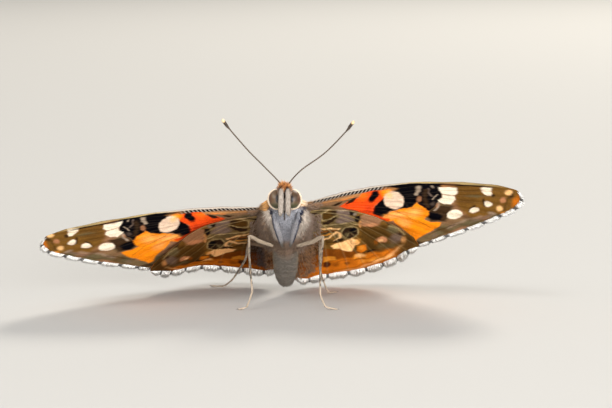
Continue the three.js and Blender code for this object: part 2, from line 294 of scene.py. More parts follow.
def sheet_faces(rows, columns):
    """The faces of a closed sheet: an upper and a lower grid, and a strip round their border."""
    total = rows * columns
    border = np.concatenate([
        np.arange(columns), np.arange(1, rows) * columns + columns - 1,
        (rows - 1) * columns + np.arange(columns - 2, -1, -1), np.arange(rows - 2, 0, -1) * columns])
    after = np.roll(border, -1)
    rim = np.stack([border, border + total, after + total, after], axis=-1)
    return [grid_faces(rows, columns), grid_faces(rows, columns, first=total)[:, ::-1], rim]


def join(parts):
    """One part from several."""
    starts = np.cumsum([0] + [len(part["points"]) for part in parts])
    joined = {key: np.concatenate([part[key] for part in parts]) for key in ("points", "paint", "uv")}
    joined["blocks"] = [block + start for part, start in zip(parts, starts) for block in part["blocks"]]
    return joined


# Materials

# The noise's values run over about this range, and its bump is this strong
GRAIN_LOW = 0.3
GRAIN_HIGH = 0.7
GRAIN_STRENGTH = 0.6
FACET_SIZE = 0.045
FACET_DEPTH = 0.01
FACET_STRENGTH = 0.5


def socket(node, name, value):
    node.inputs[name].default_value = value


def painted_material(name, roughness, grain_size, grain_depth, tone, sheen=0.0, coat=0.0, gloss=0.5):
    """A finish whose colour is the piece's own paint, broken up by a fine grain."""
    material = bpy.data.materials.new(name)
    material.use_nodes = True
    nodes = material.node_tree.nodes
    links = material.node_tree.links
    surface = nodes["Principled BSDF"]
    socket(surface, "Roughness", roughness)
    socket(surface, "Specular IOR Level", gloss)
    socket(surface, "Sheen Weight", sheen)
    socket(surface, "Coat Weight", coat)
    paint = nodes.new("ShaderNodeVertexColor")
    paint.layer_name = "Paint"
    place = nodes.new("ShaderNodeTexCoord")
    grain = nodes.new("ShaderNodeTexNoise")
    socket(grain, "Scale", 1 / (grain_size * MILLIMETRE))
    socket(grain, "Detail", 2.0)
    links.new(place.outputs["Object"], grain.inputs["Vector"])
    level = nodes.new("ShaderNodeMapRange")
    socket(level, "From Min", GRAIN_LOW)
    socket(level, "From Max", GRAIN_HIGH)
    socket(level, "To Min", 1 - tone)
    socket(level, "To Max", 1 + tone)
    links.new(grain.outputs["Fac"], level.inputs["Value"])
    tint = nodes.new("ShaderNodeVectorMath")
    tint.operation = "SCALE"
    links.new(paint.outputs["Color"], tint.inputs[0])
    links.new(level.outputs["Result"], tint.inputs["Scale"])
    links.new(tint.outputs["Vector"], surface.inputs["Base Color"])
    bump = nodes.new("ShaderNodeBump")
    socket(bump, "Strength", GRAIN_STRENGTH)
    socket(bump, "Distance", grain_depth * MILLIMETRE)
    links.new(grain.outputs["Fac"], bump.inputs["Height"])
    links.new(bump.outputs["Normal"], surface.inputs["Normal"])
    return material


def eye_material():
    """A compound eye: fine facets under a soft gloss."""
    material = painted_material("compound_eye", 0.42, 0.09, 0.01, 0.1, coat=0.05, gloss=0.3)
    nodes = material.node_tree.nodes
    links = material.node_tree.links
    facets = nodes.new("ShaderNodeTexVoronoi")
    socket(facets, "Scale", 1 / (FACET_SIZE * MILLIMETRE))
    place = nodes.new("ShaderNodeTexCoord")
    links.new(place.outputs["Object"], facets.inputs["Vector"])
    bump = nodes.new("ShaderNodeBump")
    bump.invert = True
    socket(bump, "Strength", FACET_STRENGTH)
    socket(bump, "Distance", FACET_DEPTH * MILLIMETRE)
    links.new(facets.outputs["Distance"], bump.inputs["Height"])
    links.new(bump.outputs["Normal"], nodes["Principled BSDF"].inputs["Normal"])
    return material


MATERIALS = {
    "wing": painted_material("wing_scales", 0.8, 0.11, 0.03, 0.16, gloss=0.0),
    "fur": painted_material("body_fur", 0.8, 0.12, 0.02, 0.12, sheen=0.08, gloss=0.1),
    "skin": painted_material("body_skin", 0.75, 0.1, 0.04, 0.2, sheen=0.05, gloss=0.1),
    "leg": painted_material("leg_scales", 0.6, 0.07, 0.02, 0.18),
    "horn": painted_material("antenna_horn", 0.45, 0.08, 0.01, 0.1),
    "eye": eye_material(),
}


# Tufts: closed tapered blades with their roots sunk in the skin. A blade has three points round its
# root, three round its knee and one at its tip, and its own small patch of the unwrap.
TUFT_FACES = np.array([
    [0, 2, 1], [0, 1, 4], [0, 4, 3], [1, 2, 5], [1, 5, 4], [2, 0, 3], [2, 3, 5],
    [3, 4, 6], [4, 5, 6], [5, 3, 6],
])
TUFT_PATCH = np.array([[0, 0], [1, 0], [0.5, 0.4], [0, 0.7], [1, 0.7], [0.5, 0.9], [0.5, 1]]) * 0.003
ROOT_SWELL = 0.75
TIP_SHADE = 1.12


def tufts(roots, lie, normals, length, width, paint, uv, rise=0.35, droop=0.5, sink=0.06, flat=0.4,
          root_shade=0.62):
    """A blade at each root. It leaves the skin along `lie` tilted up by `rise`, and droops back."""
    count = len(roots)
    length = np.broadcast_to(length, count)[:, None]
    width = np.broadcast_to(width, count)[:, None]
    rise = np.broadcast_to(rise, count)[:, None]
    start = unit(lie + normals * rise)
    end = unit(lie + normals * rise * (1 - droop))
    across = unit(np.cross(start, normals))
    facing = unit(np.cross(across, start))
    base = roots - normals * sink
    knee = base + start * length * 0.5
    points = np.empty((count, 7, 3))
    for ring, (centre, swell) in enumerate([(base, ROOT_SWELL), (knee, 1.0)]):
        half = width * swell / 2
        points[:, ring * 3] = centre + across * half
        points[:, ring * 3 + 1] = centre - across * half
        points[:, ring * 3 + 2] = centre + facing * half * 2 * flat
    points[:, 6] = knee + end * length * 0.5
    blocks = [(np.arange(count)[:, None, None] * 7 + TUFT_FACES[None]).reshape(-1, 3)]
    knee_shade = 0.1 + 0.9 * max(root_shade, 0.95)
    shade = np.array([root_shade] * 3 + [knee_shade] * 3 + [TIP_SHADE])
    colours = np.clip(np.broadcast_to(paint, (count, 3))[:, None, :] * shade[None, :, None], 0, 1)
    uvs = np.clip(uv, 0.002, 0.995)[:, None, :] + TUFT_PATCH[None]
    return dict(points=points.reshape(-1, 3), blocks=blocks, paint=colours.reshape(-1, 3),
                uv=uvs.reshape(-1, 2))


# Wings. Each vein runs from the root, past its branch, to the margin, in (outward, forward) mm.
# `start` is the share of its run after which it shows.
FOREWING_VEINS = [
    ([(1.1, 0.8), (7.4, 2.35), (14.5, 3.25)], 0),
    ([(1.1, 0.45), (8.4, 1.4), (19.4, 3.5)], 0),
    ([(1.1, 0.1), (11.4, 0.85), (23.7, 3.5)], 0),
    ([(1.1, -0.1), (12.2, 0.3), (26.3, 2.7)], 0.5),
    ([(1.1, -0.25), (12.5, -0.15), (27.5, 0.8)], 0.5),
    ([(1.1, -0.4), (12.6, -0.8), (27.0, -1.7)], 0.5),
    ([(1.1, -0.55), (12.5, -1.9), (25.2, -4.2)], 0.5),
    ([(1.1, -0.75), (12.0, -3.4), (23.3, -6.4)], 0),
    ([(1.1, -0.95), (10.7, -4.0), (21.2, -8.8)], 0.44),
    ([(1.1, -1.15), (8.7, -4.1), (18.9, -11.1)], 0.34),
    ([(1.1, -1.4), (8.0, -5.5), (16.8, -12.9)], 0),
    ([(1.1, -1.7), (7.7, -6.7), (15.0, -14.1)], 0),
]
HINDWING_VEINS = [
    ([(1.1, -0.55), (7.6, -3.1), (14.0, -10.2)], 0),
    ([(1.1, -0.95), (6.6, -4.0), (14.8, -12.7)], 0),
    ([(1.1, -1.35), (6.6, -5.2), (14.2, -15.1)], 0.3),
    ([(1.1, -1.75), (6.6, -6.5), (12.7, -17.1)], 0.45),
    ([(1.1, -2.15), (6.0, -8.0), (10.7, -18.7)], 0.48),
    ([(1.1, -2.55), (5.1, -9.2), (8.4, -19.9)], 0.48),
    ([(1.1, -2.95), (4.1, -9.5), (5.9, -20.6)], 0),
    ([(0.9, -3.35), (2.4, -9.2), (3.0, -20.9)], 0.4),
    ([(0.4, -3.75), (0.6, -9.2), (0.45, -20.3)], 0),
    ([(-0.3, -4.2), (-1.1, -9.2), (-1.4, -18.2)], 0),
]
# For each wing: its fringe's length, how far its margin is scalloped at the veins, half the width of
# the dark notch at each vein, how far the fringe hangs, the two veins that the cell's end joins, the
# mesh's rows and columns, and the share of the fringe that stands at each vein's end
WINGS = {
    "fore": dict(veins=FOREWING_VEINS, fringe=0.6, lobe=0.08, notch=0.36, hang=0.4, cell=(3, 7),
                 rows=240, columns=160, edge=[0, 0, 0, 0.1, 0.85, 1, 1, 1, 1, 1, 1, 0.7]),
    "hind": dict(veins=HINDWING_VEINS, fringe=1.1, lobe=0.2, notch=0.2, hang=0.65, cell=(2, 6),
                 rows=210, columns=160, edge=[0, 0, 1, 1, 1, 1, 1, 1, 1, 0.6]),
}
CELL_END = 0.5
# The mesh starts inside the body, at this place outward, and this share of its run before the root
ROOT_INSIDE = -1.3
ROOT_SHARE = 0.05
# Half the membrane's thickness, and how much closer together the thin wings lie than the solids
MEMBRANE = 0.07
NESTLE = 0.22
VEIN_HEIGHT = 0.085
PLEAT_DEPTH = 0.13
COSTA_HEIGHT = 0.05


def fore_back_edge(u):
    return -1.7 - 0.772 * (u - 1.1)


def vein_places(veins, share):
    """Places on every vein at each share of its run, as rows of (outward, forward)."""
    runs = np.array([run for run, start in veins], float)
    root, branch, end = runs[:, 0], runs[:, 1], runs[:, 2]
    bend = 2 * branch - 0.5 * root - 0.5 * end
    s = np.asarray(share)[..., None, None]
    return (1 - s) ** 2 * root + 2 * s * (1 - s) * bend + s ** 2 * end


def across_veins(spots, column):
    """A smooth curve through the veins' places, read at fractional columns. Rows match rows."""
    last = spots.shape[-2] - 1
    k = np.clip(np.floor(column).astype(int), 0, last - 1)
    rows = np.arange(spots.shape[0])[:, None]

    def at(index):
        inside = np.clip(index, 0, last)
        over = (index - inside)[..., None]
        step = np.where((index < 0)[..., None], spots[rows, 1] - spots[rows, 0],
                        spots[rows, last] - spots[rows, last - 1])
        return spots[rows, inside] + over * step

    return curve_between(at(k - 1), at(k), at(k + 1), at(k + 2), (column - k)[..., None])


def wing_grid(kind):
    """The plan of a wing's membrane: each point's place, its share of the run and its column."""
    wing = WINGS[kind]
    veins = wing["veins"]
    count = len(veins)
    reach = running_length(vein_places(veins, np.array([0.8]))[0])
    reach = 0.75 * reach / reach[-1] + 0.25 * np.arange(count) / (count - 1)
    column = np.interp(np.linspace(0, 1, wing["columns"]), reach, np.arange(count))
    row = np.linspace(-ROOT_SHARE, 1, wing["rows"])
    lengths = np.array([np.linalg.norm(np.subtract(run[2], run[0])) for run, start in veins])
    between = np.abs(np.sin(np.pi * column))
    fringe = np.interp(column, np.arange(count), wing["edge"]) * wing["fringe"]
    fringe = fringe - wing["lobe"] * (1 - between) * (fringe > 0.2)
    stop = 1 - fringe / np.interp(column, np.arange(count), lengths)
    share = np.clip(row, 0, 1)[:, None] * stop[None, :]
    places = np.empty(share.shape + (2,))
    for c in range(len(column)):
        spots = vein_places(veins, share[:, c])
        places[:, c] = across_veins(spots, np.full((len(row), 1), column[c]))[:, 0]
    root = np.clip(-row / ROOT_SHARE, 0, 1)[:, None]
    places[..., 0] = mix(places[..., 0], np.minimum(places[:1, :, 0], ROOT_INSIDE), root)
    places[..., 1] = mix(places[..., 1], places[0, :, 1].mean(), root * 0.25)
    return dict(kind=kind, u=places[..., 0], v=places[..., 1], share=share,
                column=np.broadcast_to(column, share.shape))


def vein_relief(grid):
    """How strongly a vein runs through each place, and how deep the pleat between veins is there."""
    wing = WINGS[grid["kind"]]
    veins = wing["veins"]
    share, column = grid["share"], grid["column"]
    spots = vein_places(veins, share[:, share.shape[1] // 2])
    widths = np.linalg.norm(np.diff(spots, axis=1), axis=2)
    k = np.clip(np.floor(column).astype(int), 0, len(veins) - 2)
    spread = widths[np.arange(share.shape[0])[:, None], k]
    crest = np.zeros_like(share)
    for index, (run, start) in enumerate(veins):
        away = np.abs(column - index) * spread
        present = 1.0 if start == 0 else smoothstep(share, start - 0.05, start + 0.03)
        crest = np.maximum(crest, present * np.exp(-(away / 0.13) ** 2) * (np.abs(column - index) < 1))
    first, last = wing["cell"]
    inside = (column >= first) & (column <= last)
    crossing = np.exp(-((share - CELL_END - 0.03 * np.sin((column - first) * 2.1)) * 24 / 0.16) ** 2)
    crest = np.maximum(crest, 0.7 * crossing * inside)
    pleat = np.sin(np.pi * (column - k)) ** 2 * np.clip(spread / 2.2, 0, 1)
    return crest, pleat


def wing_surface(pose, u, v, lift):
    """Plan places and a lift, on a side's wing plane, in the design frame."""
    side = pose["side"]
    x = side * pose["reach"] * u
    turn = math.radians(-side * pose["dihedral"])
    x, z = x * math.cos(turn) + lift * math.sin(turn), lift * math.cos(turn) - x * math.sin(turn)
    tilt = math.radians(-pose["pitch"])
    y, z = -v * math.cos(tilt) - z * math.sin(tilt), -v * math.sin(tilt) + z * math.cos(tilt)
    return np.stack([x + side * WING_ROOT[0], y + WING_ROOT[1], z + pose["root_z"]], axis=-1)


def wing_lift(kind, pose, u, v):
    """How far a wing's middle stands off its side's plane."""
    bow = pose["bow"] * np.sin(np.pi * np.clip(u / FOREWING_LENGTH, 0, 1))
    if kind == "fore":
        return bow
    behind = smoothstep(fore_back_edge(u) - v, 0, HIND_REACH)
    beside = 1 - smoothstep(u, -1, 2.6)
    past_thorax = smoothstep(-v, 3.5, 8)
    rise = mix(pose["inner_rise"], pose["outer_rise"], smoothstep(u, 0, 10))
    return bow + NESTLE - WING_OFFSET + rise * behind - WING_FOLD * beside * past_thorax


def swung(kind, u, v, share):
    """The right wings' plans, swung forward of the left ones'."""
    if kind == "fore":
        return u, v + 0.02 * u
    forward = 1.25 * np.exp(-((u - 7.5) / 4.0) ** 2) * smoothstep(v, -8.5, -2.5)
    outward = 0.6 * np.sin(np.pi * np.clip(share, 0, 1)) * smoothstep(u, 0.5, 4)
    return u + outward, v + forward


# Painting: marks are laid on in order, in the left wing's plan

def from_line(u, v, start, end):
    """Distance in mm to the straight line between two places."""
    du, dv = end[0] - start[0], end[1] - start[1]
    along = np.clip(((u - start[0]) * du + (v - start[1]) * dv) / (du * du + dv * dv), 0, 1)
    return np.hypot(u - start[0] - along * du, v - start[1] - along * dv)


def inside_patch(u, v, corners):
    """Distance to a patch's edge in mm, above 0 inside it."""
    away = np.full(u.shape, np.inf)
    within = np.zeros(u.shape, bool)
    for start, end in zip(corners, corners[1:] + corners[:1]):
        away = np.minimum(away, from_line(u, v, start, end))
        if start[1] != end[1]:
            level = (start[1] > v) != (end[1] > v)
            slope = (end[0] - start[0]) * (v - start[1]) / (end[1] - start[1])
            within ^= level & (u < slope + start[0])
    return np.where(within, away, -away)


def inside_oval(u, v, centre, half, turn):
    """Distance to an oval's edge in mm, about, above 0 inside it."""
    c, s = math.cos(math.radians(turn)), math.sin(math.radians(turn))
    du, dv = u - centre[0], v - centre[1]
    along = (du * c + dv * s) / half[0]
    across = (-du * s + dv * c) / half[1]
    return (1 - np.sqrt(along ** 2 + across ** 2)) * min(half)


def inside_stroke(u, v, points, width):
    """Distance into a stroke of this width in mm, above 0 inside it."""
    lines = [from_line(u, v, start, end) for start, end in zip(points[:-1], points[1:])]
    return width / 2 - np.minimum.reduce(lines)


def patch(colour, corners, soft=0.12, strength=1.0):
    return lambda u, v: (colour, inside_patch(u, v, corners), soft, strength)


def oval(colour, centre, half, turn=0, soft=0.12, strength=1.0):
    return lambda u, v: (colour, inside_oval(u, v, centre, half, turn), soft, strength)


def stroke(colour, points, width, soft=0.1, strength=1.0):
    return lambda u, v: (colour, inside_stroke(u, v, points, width), soft, strength)


def lay_on(base, marks, u, v, seed):
    """The base colours with every mark painted over them, each with a slightly ragged edge."""
    wavy_u = u + 0.1 * ripple(u, v, 0.9, seed) + 0.05 * ripple(u, v, 0.25, seed + 1)
    wavy_v = v + 0.1 * ripple(u, v, 0.9, seed + 2) + 0.05 * ripple(u, v, 0.25, seed + 3)
    paint = base
    for mark in marks:
        colour, depth, soft, strength = mark(wavy_u, wavy_v)
        paint = blend(paint, colour, strength * smoothstep(depth, -soft, soft))
    return paint


# The black field across the forewing, and the orange patch behind it, are alike on both faces
BLACK_FIELD = [(9.3, 4.6), (17.0, 4.8), (17.1, 1.0), (17.1, -0.9), (16.4, -2.4), (15.7, -3.5),
               (14.9, -2.7), (14.1, -1.3), (13.4, -2.6), (12.2, -3.0), (10.8, -3.4), (9.9, -4.9),
               (8.4, -4.6), (8.6, -2.4), (9.2, -0.9), (9.8, 0.4)]
ORANGE_PATCH = [(14.1, -1.4), (14.9, -2.6), (15.8, -3.7), (15.7, -4.9), (15.2, -5.9), (16.1, -6.4),
                (17.4, -6.7), (17.0, -8.0), (15.9, -9.4), (15.0, -10.6), (14.3, -11.9),
                (13.6, -11.3), (13.3, -9.9), (12.6, -8.5), (11.7, -7.0), (11.3, -5.9),
                (10.4, -6.1), (9.95, -5.3), (10.2, -4.3), (11.0, -3.6), (12.4, -2.9), (13.5, -2.5)]
# The forewing's white spots: at its tip, and past and along the black field
TIP_SPOT = [(21.75, 2.9), (22.2, 3.4), (23.15, 3.45), (23.15, 2.5), (23.1, 1.3), (22.6, 1.2),
            (21.95, 2.1)]
WHITE_SPOTS = [
    ((22.9, -0.85), (0.5, 0.72), 4),
    ((21.3, -2.75), (0.6, 0.75), -20),
    ((19.0, -4.2), (1.0, 1.25), -20),
]
COSTAL_SPOTS = [
    [(16.45, 2.75), (18.8, 2.65), (18.95, 1.3), (18.6, 0.85), (17.1, 0.75)],
    [(17.2, 0.6), (18.7, 0.65), (18.85, -0.2), (18.3, -1.5), (17.5, -1.7), (16.75, -1.2), (16.6, -0.8),
     (17.15, -0.2)],
]

FORE_UNDER = [
    patch("olive", [(18.5, 6), (29, 6), (29, -0.5), (24.6, -3.2), (21, -4.9), (19.4, -2.5), (18.8, -1)],
          0.5),
    patch("sepia", [(18.6, 3.9), (21.6, 3.9), (21.8, 1.6), (21.2, -1.5), (19.2, -1.4)], 0.7, 0.55),
    patch("dusk", [(16.6, -2.3), (18.7, -2.1), (18.3, -4.8), (17.8, -6.3), (16.0, -6.3), (15.5, -4.8),
                   (15.8, -3.3)], 0.35),
    patch("black", BLACK_FIELD, 0.1),
    stroke("stone", [(14.1, 2.6), (14.1, 1.4), (13.95, 0.7)], 0.5, 0.14, 0.9),
    oval("rose", (14.25, -0.5), (0.3, 0.7), 0, 0.16, 0.7),
    stroke("mauve", [(15.4, 2.4), (15.3, 1.2), (15.9, 0.2)], 0.2, 0.1, 0.8),
    stroke("stone", [(15.75, 2.9), (15.95, 2.3)], 0.16, 0.08, 0.9),
    stroke("stone", [(16.5, 0.6), (16.2, 0.0), (15.95, -0.7)], 0.18, 0.08, 0.9),
    stroke("dusk", [(15.0, 1.9), (15.0, -0.6), (15.5, -2.4)], 0.5, 0.3, 0.8),
    oval("mauve", (16.1, -1.7), (0.3, 0.5), 0, 0.2, 0.45),
    patch("orange", ORANGE_PATCH, 0.14),
    oval("orange pale", (11.5, -4.6), (1.35, 0.8), 15, 0.6),
    oval("amber cream", (13.9, -4.0), (0.7, 1.0), 0, 0.8, 0.55),
    oval("orange pale", (12.7, -6.6), (0.7, 1.2), 20, 0.5, 0.7),
    stroke("vein brown", [(11.5, -3.6), (13.0, -4.9), (14.4, -6.2), (15.3, -7.1), (16.1, -8.0)], 0.14,
           0.1, 0.75),
    patch("red", [(4.4, -1.0), (5.5, 0.1), (6.7, 0.8), (7.1, 1.8), (7.8, 1.9), (9.0, 2.3), (9.7, 2.1),
                  (10.0, 0.9), (9.8, -0.1), (9.2, -0.9), (8.7, -1.8), (8.6, -4.4), (7.9, -4.3),
                  (6.6, -2.8), (5.2, -1.9)], 0.14),
    oval("red deep", (8.0, -3.0), (0.5, 1.2), 0, 0.5, 0.8),
    oval("orange", (7.2, 0.9), (0.5, 1.0), 0, 0.6, 0.4),
    stroke("red", [(6.9, -3.0), (8.8, -4.4), (10.5, -5.6)], 0.55, 0.12),
    oval("black", (8.62, 0.7), (0.52, 1.45), -14),
    patch("soot", [(5.0, -0.8), (5.9, -0.5), (6.35, 0.3), (6.5, 1.1), (6.05, 0.9), (5.5, 0.1)], 0.1),
    patch("soot", [(3.3, -0.5), (4.7, 0.2), (4.5, -0.3), (4.0, -0.75)], 0.1),
    stroke("tan", [(0.6, 0.25), (3.0, 0.55), (5.0, 0.95), (6.8, 1.7)], 0.42, 0.16, 0.9),
    oval("salmon", (5.2, 0.75), (1.0, 0.16), 20, 0.12, 0.7),
    oval("tan", (10.3, 2.4), (1.1, 0.6), 0, 0.25, 0.9),
    oval("orange", (10.2, 1.3), (0.7, 1.3), 10, 0.3),
    oval("cream", (11.15, -0.6), (1.2, 2.45), 8, 0.13),
    oval("amber cream", (10.45, 0.9), (0.35, 0.9), 8, 0.35, 0.7),
    *[patch("white", corners, 0.1) for corners in COSTAL_SPOTS],
    patch("tan", [(16.9, 4.4), (18.6, 4.4), (18.6, 2.9), (16.8, 2.9)], 0.2, 0.8),
    stroke("stone", [(16.75, -1.3), (16.8, -2.4), (16.4, -3.5)], 0.3, 0.14, 0.95),
    stroke("rose", [(16.7, -1.6), (16.6, -2.6)], 0.2, 0.14, 0.6),
    patch("black", [(15.8, -3.9), (16.9, -4.1), (17.5, -4.8), (17.2, -5.9), (16.2, -6.0),
                    (15.5, -5.2)], 0.2),
    stroke("soot", [(22.35, 0.2), (22.3, -0.6), (22.5, -1.4)], 0.3, 0.15, 0.9),
    stroke("soot", [(21.3, -1.6), (20.8, -2.3), (20.7, -3.1)], 0.3, 0.15, 0.9),
    oval("soot", (23.4, 1.5), (0.25, 0.4), 0, 0.16, 0.9),
    *[oval("white", *spot, 0.1) for spot in WHITE_SPOTS],
    patch("white", TIP_SPOT, 0.1),
    stroke("tan", [(21.8, 2.3), (23.2, 2.35)], 0.08, 0.08, 0.7),
    stroke("soot", [(25.9, 3.0), (25.2, 0.4), (25.0, -2.4), (23.6, -4.4), (20.8, -6.9), (18.2, -9.2),
                    (16.4, -11.6)], 0.2, 0.2, 0.55),
    oval("soot", (25.55, 1.9), (0.3, 0.8), 0, 0.2, 0.7),
    oval("peach", (25.25, 2.6), (0.42, 0.62), -12, 0.16, 0.9),
    oval("rose", (24.75, 0.55), (0.3, 0.72), -8, 0.16, 0.95),
    oval("peach", (24.4, -1.75), (0.36, 0.66), 0, 0.18, 0.85),
    oval("stone", (23.6, -3.3), (0.5, 0.4), -20, 0.25, 0.6),
    oval("khaki", (21.2, 0.9), (1.0, 0.35), 5, 0.3, 0.7),
    oval("amber", (25.1, -2.9), (0.5, 0.4), -30, 0.25, 0.7),
    stroke("mauve", [(23.6, -3.6), (21.0, -6.0), (18.4, -8.3), (16.6, -10.4)], 0.4, 0.3, 0.6),
    stroke("stone", [(22.2, -4.2), (19.6, -6.4), (18.3, -8.0)], 0.35, 0.3, 0.5),
    oval("orange deep", (26.3, 0.6), (0.4, 1.4), -6, 0.25, 0.85),
    stroke("khaki", [(20.9, -6.0), (19.4, -7.7), (17.4, -9.6)], 0.7, 0.3, 0.9),
    stroke("soot", [(19.2, -6.9), (17.6, -8.2), (16.1, -9.9)], 0.2, 0.16, 0.8),
    oval("olive dark", (20.6, -5.0), (0.9, 0.5), -35, 0.4, 0.6),
    oval("sepia", (17.9, -8.7), (1.2, 0.6), -45, 0.4, 0.6),
    stroke("soot", [(14.3, -12.4), (15.2, -12.7)], 1.0, 0.3, 0.8),
]

# The black spots in a row across the hindwing's upper side: centre and radius
EYESPOTS = [((9.9, -9.9), 0.8), ((8.9, -12.6), 0.62), ((7.4, -14.3), 0.6), ((5.6, -16.0), 0.72),
            ((3.0, -16.1), 0.85)]

